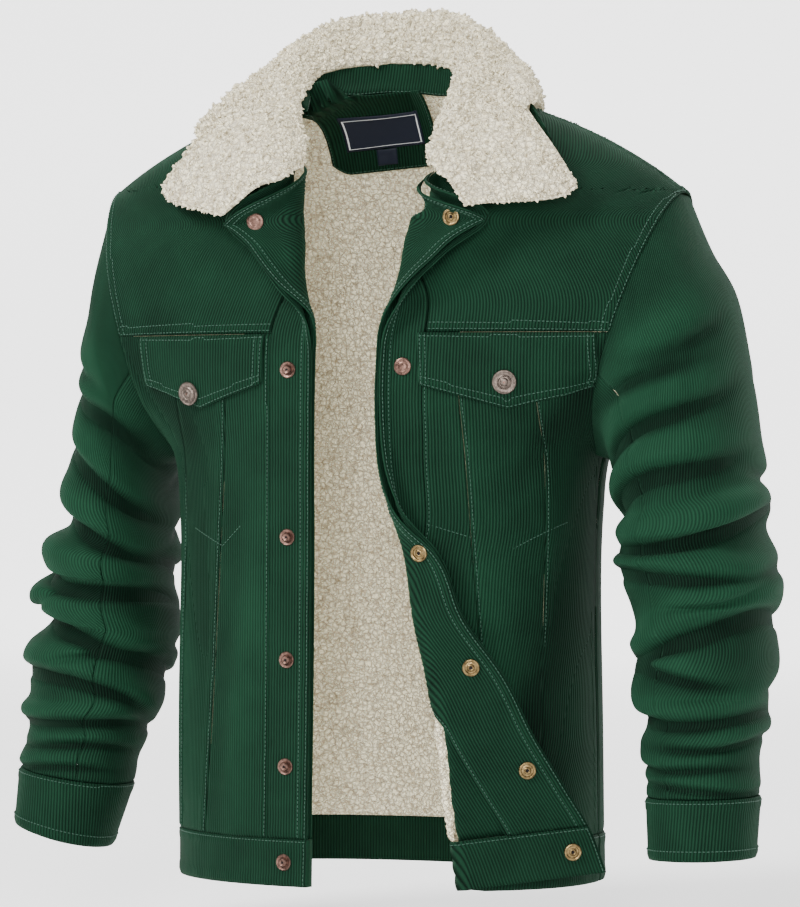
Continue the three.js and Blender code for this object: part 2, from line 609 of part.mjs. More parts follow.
// The sleeve at any place between its rings, smooth along its length.
function sleevePoint(side, along, angle) {
  const last = SLEEVES[side].length;
  const k = Math.min(Math.max(Math.floor(along), 0), last - 1);
  const t = Math.min(Math.max(along - k, 0), 1);
  const p1 = sleeveRing(side, k, angle);
  const p2 = sleeveRing(side, k + 1, angle);
  const p0 = k > 0 ? sleeveRing(side, k - 1, angle) : p1.clone().multiplyScalar(2).sub(p2);
  const p3 = k + 2 <= last ? sleeveRing(side, k + 2, angle) : p2.clone().multiplyScalar(2).sub(p1);
  const m1 = p2.clone().sub(p0).multiplyScalar(0.5);
  const m2 = p3.clone().sub(p1).multiplyScalar(0.5);
  const t2 = t * t;
  const t3 = t2 * t;
  return p1.multiplyScalar(2 * t3 - 3 * t2 + 1).addScaledVector(m1, t3 - 2 * t2 + t)
    .addScaledVector(p2, 3 * t2 - 2 * t3).addScaledVector(m2, t3 - t2);
}

// A stretch of sleeve between two rings; the seams run down its front and its back.
function sleevePiece(side, fromRing, toRing, fromAngle, toAngle, columns, rows, wall, round = false) {
  const surface = (angle, along) => sleevePoint(side, along, angle);
  const place = (u, v) => {
    const angle = fromAngle + (toAngle - fromAngle) * u;
    const along = fromRing + (toRing - fromRing) * v;
    const normal = surfaceNormal(surface, angle, along, 0.02, 0.05);
    return { point: surface(angle, along), normal: side === 'L' ? normal : normal.negate() };
  };
  return wallBetween(columns, rows, place, wall / 2, -wall / 2, round);
}

function buildSleeve(side) {
  const last = SLEEVES[side].length;
  const seamRing = last - 1;
  const seamAngle = THREE.MathUtils.degToRad(112);
  const gap = SEAM / 70;
  const rows = seamRing;
  addPiece(`sleeve_upper_${side}`,
    sleevePiece(side, 0, seamRing - 0.012, -seamAngle + gap, seamAngle - gap, 12, rows, SLEEVE_WALL), corduroy());
  addPiece(`sleeve_under_${side}`,
    sleevePiece(side, 0, seamRing - 0.012, seamAngle + gap, 2 * Math.PI - seamAngle - gap, 7, rows, SLEEVE_WALL),
    corduroy());
  addPiece(`cuff_${side}`,
    sleevePiece(side, seamRing + 0.004, last, 0, 2 * Math.PI, 20, CUFF_ROWS, SLEEVE_WALL + 1.6, true), corduroy());
}

// The collar from neck seam to free edge: up the stand, round the fold and down the fall.
function collarSection(side, row) {
  const z = backNeckHeight(row.neckX ?? 0);
  const neck = row.face === 'back'
    ? new THREE.Vector3(row.neckX, bodyY('back', row.neckX, z), z)
    : frontPoint(side, 0, row.neckZ);
  const toMiddle = new THREE.Vector3(-8, -20, neck.z).sub(neck).normalize();
  neck.addScaledVector(toMiddle, NECK_INSET[row.face]);
  const fold = new THREE.Vector3(row.foldX, row.foldY, row.foldZ);
  const outward = fold.clone().setZ(0).sub(new THREE.Vector3(-10, -10, 0)).normalize();
  const edgeY = bodyY(row.face, row.edgeX, row.edgeZ);
  const e = 1;
  const slopeX = (bodyY(row.face, row.edgeX + e, row.edgeZ) - bodyY(row.face, row.edgeX - e, row.edgeZ)) / (2 * e);
  const slopeZ = (bodyY(row.face, row.edgeX, row.edgeZ + e) - bodyY(row.face, row.edgeX, row.edgeZ - e)) / (2 * e);
  const away = new THREE.Vector3(-slopeX, 1, -slopeZ).normalize();
  if (row.face === 'front') away.negate();
  const edge = new THREE.Vector3(row.edgeX, edgeY, row.edgeZ).addScaledVector(away, row.lift);
  const rise = fold.clone().sub(neck);
  const turn = Math.min(9, rise.length() * 0.3);
  const inside = neck.clone().addScaledVector(rise, 0.62).addScaledVector(outward, -turn * 0.3);
  const outside = fold.clone().addScaledVector(outward, turn * 1.5);
  outside.z -= turn * 0.9;
  const fall = outside.clone().lerp(edge, 0.5);
  fall.addScaledVector(outward, 3);
  fall.z += 6;
  return [neck, inside, fold, outside, fall, edge];
}

function collarCurve(side) {
  const sections = COLLAR[side].map((row) => collarSection(side, row));
  const lines = sections[0].map((_, i) => new THREE.CatmullRomCurve3(sections.map((s) => s[i])));
  return (t, w) => new THREE.CatmullRomCurve3(lines.map((line) => line.getPoint(Math.min(Math.max(t, 0), 1))))
    .getPoint(Math.min(Math.max(w, 0), 1));
}

// One surface right round: -1 is the wearer's right front end, 0 the middle back, 1 the left front end.
const collarHalves = { R: collarCurve('R'), L: collarCurve('L') };
function collarPoint(t, w) {
  return t < 0 ? collarHalves.R(-t, w) : collarHalves.L(t, w);
}

function collarPiece(fromW, toW, columns, rows, outer, inner) {
  const place = (u, v) => {
    const t = -1 + 2 * u;
    const w = fromW + (toW - fromW) * v;
    const normal = surfaceNormal(collarPoint, t, w, 0.01, 0.01);
    return { point: collarPoint(t, w), normal };
  };
  return wallBetween(columns, rows, place, outer, inner);
}

function buildCollar() {
  const fluff = (u, v) => {
    const atEnd = Math.min(1, Math.min(u, 1 - u) * 16);
    const atRim = Math.min(1, (1 - v) * 8);
    return COLLAR_GAP + COLLAR_PILE * (0.45 + 0.55 * Math.min(atEnd, atRim));
  };
  addPiece('collar_upper', collarPiece(STAND_SHARE + 0.01, 1, 24, 8, fluff, COLLAR_GAP), sherpa());
  addPiece('collar_under', collarPiece(STAND_SHARE + 0.01, 1, 24, 8, -COLLAR_GAP, -COLLAR_GAP - CLOTH), corduroy());
  addPiece('collar_stand', collarPiece(0.02, STAND_SHARE, 24, 1, CLOTH, -CLOTH), corduroy());
}

// A turned metal piece set square on a front, standing out from a given offset.
function onFront(name, side, fromEdge, z, offset, profile, inside, segments = 8) {
  const surface = (a, b) => frontPoint(side, a, b);
  const normal = surfaceNormal(surface, fromEdge, z, 2, 2);
  if (side === 'R') normal.negate();
  if (inside) normal.negate();
  const geometry = new THREE.LatheGeometry(profile.map(([r, h]) => new THREE.Vector2(r, h)), segments);
  geometry.rotateX(Math.PI / 2);
  const turn = new THREE.Quaternion().setFromUnitVectors(new THREE.Vector3(0, 0, 1), normal);
  geometry.applyQuaternion(turn);
  const at = surface(fromEdge, z).addScaledVector(normal, offset);
  geometry.translate(at.x, at.y, at.z);
  addPiece(name, geometry, metal());
}

const STUD = [[0, 0], [6, 0], [6, 0.8], [3.2, 1.2], [3.2, 3.2], [2, 3.6], [0, 3.6]];
const SOCKET = [[0, 0], [6.6, 0], [6.8, 1.4], [5, 2.2], [3, 1], [0, 1]];
const CAP = [[0, 0], [7.6, 0], [7.4, 0.8], [4, 1.6], [0, 1.8]];
const BUTTON = [[0, 0], [9.2, 0], [10, 1], [9, 2.2], [6.6, 1.7], [5.6, 1.9], [3.4, 3], [0, 3.2]];

function buildSnaps() {
  const rest = SKIN + CLOTH;
  const inside = FACING_GAP + CLOTH;
  SNAPS.forEach(({ rightZ, rightIn, leftZ, leftIn, stud, back, socket, cap }, i) => {
    const band = rightZ < BAND_TOP_Z ? 0.5 : 0;
    onFront(`snap_stud_${i + 1}`, 'R', rightIn, rightZ, rest + band + stud, STUD, false);
    onFront(`snap_back_${i + 1}`, 'R', rightIn, rightZ, inside + band + back, CAP, true);
    onFront(`snap_socket_${i + 1}`, 'L', leftIn, leftZ, inside + band + socket, SOCKET, true);
    onFront(`snap_cap_${i + 1}`, 'L', leftIn, leftZ, rest + band + cap, CAP, false);
  });
}

function buildPocketButtons() {
  for (const side of ['R', 'L']) {
    const { buttonX, buttonZ } = FLAPS[side];
    const fromEdge = fromEdgeAt(side, buttonX, buttonZ);
    onFront(`pocket_button_${side}`, side, fromEdge, buttonZ, SKIN + 2 * CLOTH + 2.2, BUTTON, false, 12);
  }
}

buildFront('R');
buildFront('L');
buildBack();
buildNeckPatches();
buildSleeve('R');
buildSleeve('L');
buildCollar();
buildSnaps();
buildPocketButtons();

export default group;
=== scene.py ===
import math

import bpy
import numpy as np
from mathutils import Matrix, Vector


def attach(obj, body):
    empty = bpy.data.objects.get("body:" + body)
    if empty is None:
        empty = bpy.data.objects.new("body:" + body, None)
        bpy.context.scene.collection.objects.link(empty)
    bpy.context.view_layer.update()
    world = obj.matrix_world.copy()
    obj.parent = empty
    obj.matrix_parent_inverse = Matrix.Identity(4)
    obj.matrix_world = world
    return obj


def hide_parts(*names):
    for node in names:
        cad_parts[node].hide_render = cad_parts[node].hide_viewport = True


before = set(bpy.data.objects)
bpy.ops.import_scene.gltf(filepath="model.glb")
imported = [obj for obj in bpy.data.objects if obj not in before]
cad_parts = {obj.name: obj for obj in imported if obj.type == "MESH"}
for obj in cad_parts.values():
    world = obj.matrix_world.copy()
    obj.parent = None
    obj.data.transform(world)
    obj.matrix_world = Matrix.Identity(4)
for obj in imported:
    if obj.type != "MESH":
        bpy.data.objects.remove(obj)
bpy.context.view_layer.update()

# Sizes of the cut, in millimetres, as in the solids
HEM_Z = -640
BAND_TOP_Z = -601
YOKE_FRONT_Z = -184
YOKE_BACK_Z = -150
ARMPIT_Z = -283
ARMPIT_X = 187
SHOULDER_X = {"R": 246, "L": 259}
GORGE_Z = {"R": -42, "L": -52}
NECK_X = 78
NECK_Z = 22
SEAM_Y = 4
SHOULDER_ROLL = 140
PLAN_ROUND = 2.25
ROLL_ROUND = 2.2
FLAP_ROLL = 8
PLACKET = 38
FACING = 66
FACING_GAP = 4.6
LINING_GAP = 4.4
LAPEL_PAD = 2.6
PILE = 6
CLOTH = 1.7
WALE = 2.6
SEAM_LINE = 0.25
SHOULDER_SEAM = 0.0001
COLLAR_GAP = 1.5
COLLAR_PILE = 7.5
STAND_SHARE = 0.13
NECK_INSET = {"back": 4.8, "front": 13}

# Points of a front's plan up to its roll and round the roll, and the width that the back's columns share
PANEL_POINTS = 61
ROLL_POINTS = 25
BACK_SPAN = 470
NECK_MIDDLE = (-8, -20)

# The two lines of a double topstitch, and the doubled wall of the hem bands
TWIN_LINES = (2.2, 8.2)
BAND_START = -FACING_GAP - CLOTH - 0.6
BAND_WALL = 2 * CLOTH + FACING_GAP + 1.3

# Grid points across the collar and its stand, and the curls scattered over the fleece
COLLAR_COLUMNS = 330
STAND_COLUMNS = 260
STAND_CUT = 40
CURLS = 5200

# The camera, matched to the photograph: metres from the middle, to its side and in height, degrees round
CAMERA_AWAY = 3.4
CAMERA_ASIDE = 0.0081
CAMERA_Z = -0.283
CAMERA_ROUND = 20
CAMERA_LENS = 158.8


def table(columns, *rows):
    return [dict(zip(columns.split(), row)) for row in rows]


BODY = table(
    "z half front back",
    (-640, 182, 130, 113),
    (-520, 181, 131, 112),
    (-400, 180, 132, 111),
    (-330, 182, 131, 111),
    (-283, 188, 130, 112),
    (-262, 203, 129, 113),
    (-235, 236, 128, 114),
    (-190, 284, 126, 115),
    (-140, 304, 121, 112),
    (-60, 310, 114, 106),
    (40, 310, 108, 100),
)

# Where each front rolls open, the cloth beyond the roll, its turn in degrees and how much it climbs
FRONTS = {
    "R": table(
        "z roll flap turn rise",
        (-640, 31, 3, 8, 0),
        (-400, 27, 3, 8, 0),
        (-205, 28, 3, 10, 0),
        (-178, 34, 4, 60, 0),
        (-150, 42, 12, 140, 0),
        (-116, 47, 30, 164, 0),
        (-88, 51, 50, 168, 0),
        (-42, 53, 4, 60, 0),
        (-30, 53, 1, 6, 0),
        (8, 71, 1, 4, 0),
        (30, 81, 1, 4, 0),
    ),
    "L": table(
        "z roll flap turn rise",
        (-640, 118, 116, 178, 0.12),
        (-603, 113, 107, 178, 0.12),
        (-567, 108, 91, 178, 0.12),
        (-523, 104, 70, 178, 0.11),
        (-471, 95, 56, 176, 0.1),
        (-421, 84, 36, 172, 0.08),
        (-365, 76, 24, 164, 0.04),
        (-325, 63, 10, 125, 0),
        (-280, 52, 5, 80, 0),
        (-235, 47, 4, 60, 0),
        (-190, 49, 4, 64, 0),
        (-155, 63, 8, 130, 0),
        (-120, 72, 30, 164, 0),
        (-86, 82, 53, 168, 0),
        (-52, 86, 4, 60, 0),
        (-40, 84, 1, 6, 0),
        (0, 80, 1, 4, 0),
        (30, 76, 1, 4, 0),
    ),
}

PANEL_SEAMS = {
    "R": table("z inner outer", (-640, 133, 163), (-450, 118, 160), (-184, 100, 154)),
    "L": table("z inner outer", (-640, 128, 156), (-425, 114, 158), (-184, 98, 162)),
}

POCKET_FLAPS = {
    "R": dict(near=66, far=188, side=40, tip=60, button_x=137, button_z=-232),
    "L": dict(near=68, far=210, side=42, tip=61, button_x=138, button_z=-224),
}

POCKET_BAGS = {
    "R": ((88, -342), (108, -360), (142, -345)),
    "L": ((74, -340), (138, -361), (172, -339)),
}

SNAPS = table(
    "right_z right_in left_z left_in stud back socket cap",
    (-91, 29, -91, 29, 0.5, 5, 4.6, 0.7),
    (-214, 21, -212, 21, 0.4, 0.4, 0.4, 0.4),
    (-352, 21, -364, 13, 0.4, 0.6, 0.5, 1.2),
    (-453, 21, -461, 21, 0.4, 0.6, 0.5, 0.8),
    (-541, 21, -550, 21, 0.4, 0.6, 0.4, 0.5),
    (-620, 21, -620, 21, 0.3, 0.6, 0.3, 1.1),
)

# Sleeve rings from the shoulder down: outer and inner ends, middle in Y and half depth
SLEEVES = {
    "R": table(
        "out_x out_z in_x in_z mid_y deep",
        (253, -112, 205, -290, -2, 86),
        (261, -158, 206, -300, -2, 83),
        (269, -215, 207, -312, -3, 80),
        (276, -266, 208, -326, -3, 78),
        (285, -308, 209, -342, -3, 77),
        (282, -341, 210, -363, -2, 72),
        (305, -360, 208, -381, -1, 76),
        (299, -381, 211, -399, 0, 71),
        (315, -403, 205, -417, 0, 75),
        (305, -426, 207, -436, 0, 68),
        (323, -447, 205, -454, -3, 70),
        (323, -474, 211, -474, -9, 66),
        (321, -493, 211, -497, -14, 60),
        (327, -507, 221, -514, -18, 60),
        (319, -518, 222, -528, -22, 54),
        (321, -534, 228, -547, -28, 52),
        (323, -552, 229, -567, -34, 49),
        (320, -598, 242, -620, -50, 46),
    ),
    "L": table(
        "out_x out_z in_x in_z mid_y deep",
        (277, -112, 205, -290, -2, 87),
        (299, -150, 206, -298, -3, 85),
        (311, -205, 207, -308, -4, 82),
        (320, -258, 208, -320, -6, 80),
        (323, -304, 217, -336, -8, 76),
        (332, -324, 214, -350, -9, 78),
        (327, -345, 209, -370, -10, 73),
        (341, -384, 216, -390, -14, 76),
        (336, -412, 224, -408, -17, 68),
        (341, -447, 233, -430, -22, 70),
        (338, -468, 227, -460, -27, 64),
        (334, -483, 230, -480, -31, 58),
        (338, -499, 242, -502, -36, 59),
        (332, -524, 238, -519, -42, 53),
        (333, -541, 244, -540, -48, 50),
        (335, -560, 246, -562, -54, 47),
        (334, -609, 251, -611, -64, 45),
    ),
}

# Collar sections from the back to each front end
COLLAR_BACK = table(
    "face neck fold_x fold_y fold_z edge_x edge_z lift",
    ("back", -20, -20, 76, 90, -22, 10, 8),
)
COLLAR = {
    "R": COLLAR_BACK + table(
        "face neck fold_x fold_y fold_z edge_x edge_z lift",
        ("back", -58, -68, 60, 84, -92, 0, 10),
        ("back", -77, -90, 22, 62, -116, 2, 15),
        ("front", 16, -86, -24, 34, -134, -26, 18),
        ("front", -8, -73, -74, 4, -158, -68, 13),
        ("front", -30, -53, -108, -28, -98, -90, 30),
    ),
    "L": COLLAR_BACK + table(
        "face neck fold_x fold_y fold_z edge_x edge_z lift",
        ("back", 20, 28, 70, 88, 40, 3, 9),
        ("back", 54, 66, 44, 67, 96, -2, 16),
        ("front", 20, 80, 0, 42, 138, -17, 25),
        ("front", -10, 86, -58, 8, 184, -74, 15),
        ("front", -38, 86, -112, -38, 112, -89, 34),
    ),
}

# Folds over the sleeves: height, middle angle from the outer edge round the front in
# degrees, lean in mm a degree, reach in degrees, width and depth. Each crest has a trough under it.
SLEEVE_FOLDS = {
    "R": table(
        "z angle slant reach width depth",
        (-196, 62, -0.45, 40, 13, 3.0),
        (-238, 98, -0.5, 58, 13, 5.0),
        (-292, 102, -0.45, 62, 12, 6.0),
        (-336, 88, -0.3, 78, 11, 6.5),
        (-378, 86, -0.24, 84, 11, 8.5),
        (-402, 52, 0.2, 34, 6, 2.6),
        (-424, 88, -0.22, 84, 11, 8.0),
        (-450, 112, 0.15, 38, 6, 3.0),
        (-470, 84, -0.25, 82, 9, 7.5),
        (-503, 88, -0.1, 84, 7, 5.0),
        (-527, 104, -0.05, 64, 5.5, 3.0),
        (-546, 74, -0.03, 70, 5, 2.6),
        (-255, 262, 0.5, 56, 13, 5.0),
        (-318, 276, 0.3, 70, 11, 6.5),
        (-372, 258, -0.1, 76, 10, 6.0),
        (-421, 280, 0.16, 80, 9, 6.0),
        (-466, 262, -0.06, 76, 8, 5.5),
        (-512, 270, 0.05, 70, 6, 3.4),
    ),
    "L": table(
        "z angle slant reach width depth",
        (-178, 64, -0.4, 38, 13, 3.0),
        (-212, 96, -0.5, 44, 12, 3.6),
        (-250, 98, -0.55, 58, 12, 5.5),
        (-294, 102, -0.4, 62, 12, 7.0),
        (-335, 82, -0.16, 84, 11, 8.5),
        (-371, 94, -0.06, 78, 9, 6.5),
        (-392, 58, -0.2, 40, 6, 3.0),
        (-418, 86, -0.18, 84, 12, 8.5),
        (-452, 112, 0.1, 52, 8, 4.5),
        (-486, 86, 0.04, 84, 8, 7.5),
        (-511, 60, -0.05, 56, 6, 3.2),
        (-530, 105, 0.03, 66, 5.5, 3.0),
        (-547, 78, 0.02, 78, 5, 2.6),
        (-248, 258, 0.5, 56, 13, 5.0),
        (-306, 278, 0.3, 70, 11, 6.5),
        (-360, 260, -0.1, 76, 10, 6.0),
        (-412, 282, 0.14, 80, 9, 6.0),
        (-458, 262, -0.06, 76, 8, 5.5),
        (-506, 272, 0.05, 70, 6, 3.4),
    ),
}

# Long soft drapes over the body, by place across (X) and height, leaning by slant
BODY_CREASES = table(
    "face x z slant reach width depth",
    ("front", -150, -330, 0.18, 150, 16, -2.4),
    ("front", -88, -470, -0.05, 150, 14, 1.7),
    ("front", -176, -500, 0.05, 120, 12, 1.8),
    ("front", -60, -120, 0.6, 60, 12, -1.6),
    ("front", -190, -215, 0.75, 80, 13, -2.2),
    ("front", 120, -440, 0.1, 150, 15, 1.8),
    ("front", 172, -400, -0.12, 160, 14, -2.2),
    ("front", 148, -540, 0.06, 90, 12, -1.6),
    ("front", 205, -220, -0.7, 80, 13, -2.2),
    ("front", 110, -110, -0.5, 70, 14, 1.5),
    ("back", -120, -330, 0.12, 190, 18, 2.6),
    ("back", -40, -470, -0.06, 170, 18, -2.2),
    ("back", 60, -400, 0.08, 190, 20, 2.4),
    ("back", 140, -480, -0.12, 150, 16, -2.4),
    ("back", -185, -230, 0.6, 90, 14, -2.4),
    ("back", 190, -225, -0.6, 90, 14, -2.4),
)


def read_row(rows, key, name, at):
    last = len(rows) - 1
    i = 0
    while i < last - 1 and at > rows[i + 1][key]:
        i += 1
    span = rows[i + 1][key] - rows[i][key]
    t = min(max((at - rows[i][key]) / span, 0), 1)

    def slope(k):
        before = rows[max(k - 1, 0)]
        after = rows[min(k + 1, last)]
        return (after[name] - before[name]) / (after[key] - before[key])

    start = rows[i][name]
    end = rows[i + 1][name]
    return ((2 * t ** 3 - 3 * t ** 2 + 1) * start + (t ** 3 - 2 * t ** 2 + t) * span * slope(i)
            + (3 * t ** 2 - 2 * t ** 3) * end + (t ** 3 - t ** 2) * span * slope(i + 1))


def sign(side):
    return 1 if side == "L" else -1


def shoulder_height(x):
    out = np.abs(x) - NECK_X
    return np.where(out < 0, NECK_Z - 0.45 * out, NECK_Z - 0.33 * out - 5e-6 * np.maximum(out, 0) ** 3)


def back_neck_height(x):
    return 35 - 12 * ((x + 8) / 72) ** 2


def body_y(face, x, z):
    half = read_row(BODY, "z", "half", z)
    across = np.minimum(np.abs(x) / half, 1)
    side = (1 - across ** PLAN_ROUND) ** (1 / PLAN_ROUND)
    drop = np.clip((shoulder_height(x) - z) / SHOULDER_ROLL, 0, 1)
    roll = (1 - (1 - drop) ** ROLL_ROUND) ** (1 / ROLL_ROUND)
    reach = read_row(BODY, "z", face, z) * side * roll
    return SEAM_Y - reach if face == "front" else SEAM_Y + reach


def edge_x(side, z):
    if z <= ARMPIT_Z:
        return read_row(BODY, "z", "half", z)
    top = SHOULDER_X[side]
    share = (z - ARMPIT_Z) / (float(shoulder_height(top)) - ARMPIT_Z)
    return ARMPIT_X + (top - ARMPIT_X) * min(share, 1)


def ring_x(z, angle):
    return read_row(BODY, "z", "half", z) * np.abs(np.cos(angle)) ** (2 / PLAN_ROUND)


def ring_angle(z, x):
    share = min(x / read_row(BODY, "z", "half", z), 1)
    return math.acos(share ** (PLAN_ROUND / 2))


class FrontPlan:
    """One front at one height, seen from above, from its side seam to its free edge."""
    kept = {}

    def __init__(self, side, z):
        rows = FRONTS[side]
        roll_x = read_row(rows, "z", "roll", z)
        self.flap = max(read_row(rows, "z", "flap", z), 0.5)
        self.rise = read_row(rows, "z", "rise", z)
        turn = math.radians(max(read_row(rows, "z", "turn", z), 0))
        angles = np.linspace(ring_angle(z, edge_x(side, z)), ring_angle(z, roll_x),
                             PANEL_POINTS)
        x = ring_x(z, angles)
        y = body_y("front", x, z)
        tangent = np.array([x[-1] - x[-2], y[-1] - y[-2]])
        tangent /= np.linalg.norm(tangent)
        out = np.array([tangent[1], -abs(tangent[0])])
        bend = np.linspace(0, turn, ROLL_POINTS)[1:]
        roll_points = (np.array([x[-1], y[-1]]) + np.outer(FLAP_ROLL * np.sin(bend), tangent)
                       + np.outer(FLAP_ROLL * (1 - np.cos(bend)), out))
        last = roll_points[-1] + (tangent * math.cos(turn) + out * math.sin(turn)) * self.flap
        self.points = np.vstack([np.column_stack([x, y]), roll_points, last])
        steps = np.linalg.norm(np.diff(self.points, axis=0), axis=1)
        self.lengths = np.concatenate([[0], np.cumsum(steps)])
        self.total = self.lengths[-1]
        self.panel = self.lengths[PANEL_POINTS - 1]

    @classmethod
    def at(cls, side, z):
        key = (side, round(float(z), 1 if z < -20 else 5))
        if key not in cls.kept:
            cls.kept[key] = cls(side, key[1])
        return cls.kept[key]

    def place(self, side, from_edge, z):
        at = np.clip(self.total - from_edge, 0, self.total)
        x = np.interp(at, self.lengths, self.points[:, 0])
        y = np.interp(at, self.lengths, self.points[:, 1])
        return np.stack([sign(side) * x, y, z + self.rise * np.maximum(at - self.panel, 0)], -1)

    def from_edge_at(self, x):
        panel_x = self.points[:PANEL_POINTS, 0]
        return self.total - np.interp(-x, -panel_x, self.lengths[:PANEL_POINTS])


def front_point(side, from_edge, z):
    return FrontPlan.at(side, z).place(side, np.asarray(from_edge, float), z)


def back_point(across, z):
    start = ring_angle(z, edge_x("R", z))
    end = math.pi - ring_angle(z, edge_x("L", z))
    angle = start + (end - start) * np.asarray(across, float)
    x = -ring_x(z, angle) * np.where(np.cos(angle) < 0, -1, 1)
    return np.stack([x, body_y("back", x, z), np.full_like(x, z)], -1)


def seam_top(place_x, limit):
    low, high = -140.0, 60.0
    for _ in range(30):
        middle = (low + high) / 2
        if middle < limit(place_x(middle)):
            low = middle
        else:
            high = middle
    return low


def normals_of(points, flip, wrap=False):
    """Unit normals of a grid of points, from its neighbours along rows and columns."""
    if wrap:
        padded = np.concatenate([points[:, -3:-1], points, points[:, 1:3]], axis=1)
        along = np.gradient(padded, axis=1)[:, 2:-2]
    else:
        along = np.gradient(points, axis=1)
    up = np.gradient(points, axis=0)
    normal = np.cross(along, up)
    length = np.linalg.norm(normal, axis=2, keepdims=True)
    return normal / np.maximum(length, 1e-9) * (-1 if flip else 1)


def inward_normals(points, normals):
    """Evens out the directions a lining faces, and turns stray ones to the middle of the body."""
    middle = np.stack([-points[..., 0], -points[..., 1], np.zeros(points.shape[:2])], -1)
    middle /= np.linalg.norm(middle, axis=2, keepdims=True)
    stray = (normals * middle).sum(axis=2, keepdims=True) < 0.15
    even = np.where(stray, middle, normals)
    for _ in range(3):
        wide = np.pad(even, ((1, 1), (1, 1), (0, 0)), mode="edge")
        even = (wide[:-2, 1:-1] + wide[2:, 1:-1] + wide[1:-1, :-2] + wide[1:-1, 2:] + even) / 5
    return even / np.linalg.norm(even, axis=2, keepdims=True)


def wall_mesh(name, shown, hidden, uv, skip=1, wrap=False, painted_shade=None):
    """Turns a grid into a closed wall, with a hidden side that may be coarser."""
    rows, columns = shown.shape[:2]
    row_keep = sorted(set(list(range(0, rows, skip)) + [rows - 1]))
    column_keep = sorted(set(list(range(0, columns, skip)) + [columns - 1]))
    coarse = hidden[np.ix_(row_keep, column_keep)]
    many, across = coarse.shape[:2]
    vertices = np.concatenate([shown.reshape(-1, 3), coarse.reshape(-1, 3)]) / 1000
    coordinates = np.concatenate([uv.reshape(-1, 2), uv[np.ix_(row_keep, column_keep)].reshape(-1, 2)])
    ids = np.arange(rows * columns).reshape(rows, columns)
    back = rows * columns + np.arange(many * across).reshape(many, across)
    quads = [np.stack([ids[:-1, :-1], ids[:-1, 1:], ids[1:, 1:], ids[1:, :-1]], -1).reshape(-1, 4),
             np.stack([back[:-1, :-1], back[1:, :-1], back[1:, 1:], back[:-1, 1:]], -1).reshape(-1, 4)]
    triangles = []

    def strip(fine, coarse_ids, kept, turned):
        for k in range(len(kept) - 1):
            low, high = kept[k], kept[k + 1]
            for j in range(low, high):
                face = (coarse_ids[k], fine[j + 1], fine[j])
                triangles.append(face if not turned else face[::-1])
            face = (coarse_ids[k], coarse_ids[k + 1], fine[high])
            triangles.append(face if not turned else face[::-1])

    strip(ids[0], back[0], column_keep, False)
    strip(ids[-1], back[-1], column_keep, True)
    if not wrap:
        strip(ids[:, 0], back[:, 0], row_keep, True)
        strip(ids[:, -1], back[:, -1], row_keep, False)
    faces = np.concatenate(quads).tolist() + [list(map(int, face)) for face in triangles]
    mesh = bpy.data.meshes.new(name)
    mesh.from_pydata(vertices.tolist(), [], faces)
    layer = mesh.uv_layers.new(name="cloth")
    loops = np.zeros(len(mesh.loops), dtype=np.int32)
    mesh.loops.foreach_get("vertex_index", loops)
    layer.data.foreach_set("uv", coordinates[loops].astype(np.float32).ravel())
    # Painted shade per point (0.5 where none is given), stored in the 'depth' attribute that the finishes turn
    # into darker and lighter colour
    painted_shade = np.full((rows, columns), 0.5) if painted_shade is None else painted_shade
    shade = np.concatenate([painted_shade.ravel(), painted_shade[np.ix_(row_keep, column_keep)].ravel()])
    attribute = mesh.attributes.new("depth", "FLOAT", "POINT")
    attribute.data.foreach_set("value", shade.astype(np.float32))
    mesh.polygons.foreach_set("use_smooth", [True] * len(mesh.polygons))
    obj = bpy.data.objects.new(name, mesh)
    bpy.context.scene.collection.objects.link(obj)
    close_round(obj, wrap)
    return obj


def close_round(obj, wrap):
    """Merges the meeting ends of a tube and turns every face outwards."""
    bpy.ops.object.select_all(action="DESELECT")
    bpy.context.view_layer.objects.active = obj
    obj.select_set(True)
    bpy.ops.object.mode_set(mode="EDIT")
    bpy.ops.mesh.select_all(action="SELECT")
    if wrap:
        bpy.ops.mesh.remove_doubles(threshold=0.00002)
    bpy.ops.mesh.normals_make_consistent(inside=False)
    bpy.ops.object.mode_set(mode="OBJECT")
    obj.select_set(False)


def crease_field(rows, across, height, key):
    """Soft troughs and ridges, each a lens-shaped streak along its own leaning line."""
    total = np.zeros_like(across)
    for row in rows:
        off = across - row[key]
        level = height - row["z"]
        if key == "angle":
            off = (off + 180) % 360 - 180
            bow = row["depth"] * 0.9 * np.sin(off / row["reach"] * 2.2 + row["z"])
            line = level - row["slant"] * off - bow
            along = off
        else:
            line = off + row["slant"] * level - 5 * np.sin(level / row["reach"] * 2.2)
            along = level
        taper = np.exp(-(np.abs(along) / row["reach"]) ** 2.6)
        crest = np.exp(-(line / row["width"] / np.where(line > 0, 1.5, 0.8)) ** 2)
        if key == "angle":
            crest = crest * 1.1 - 1.5 * np.exp(-((line / row["width"] + 1.35) / 0.55) ** 2)
        total += row["depth"] * taper * crest
    return total


def edge_dip(distance):
    """Cloth rounds down into a seam or an edge."""
    return -1.15 * np.exp(-(distance / 0.9) ** 1.4)


def stitched_seam(distance, rows=TWIN_LINES):
    """A seam allowance puffs up beside the seam, and each line of stitching draws it down."""
    puff = 0.55 / (1 + np.exp((distance - 9.2) * 2.2))
    drawn = sum(0.5 * np.exp(-((distance - line) / 0.9) ** 2) for line in rows)
    return puff - drawn


def pucker(distance, along, seed):
    wave = (np.sin(along / 3.1 + seed) + 0.7 * np.sin(along / 5.3 + 2.1 * seed)
            + 0.6 * np.sin(along / 9.7 - seed))
    return 0.22 * wave * np.exp(-np.abs(distance - 5) / 5)


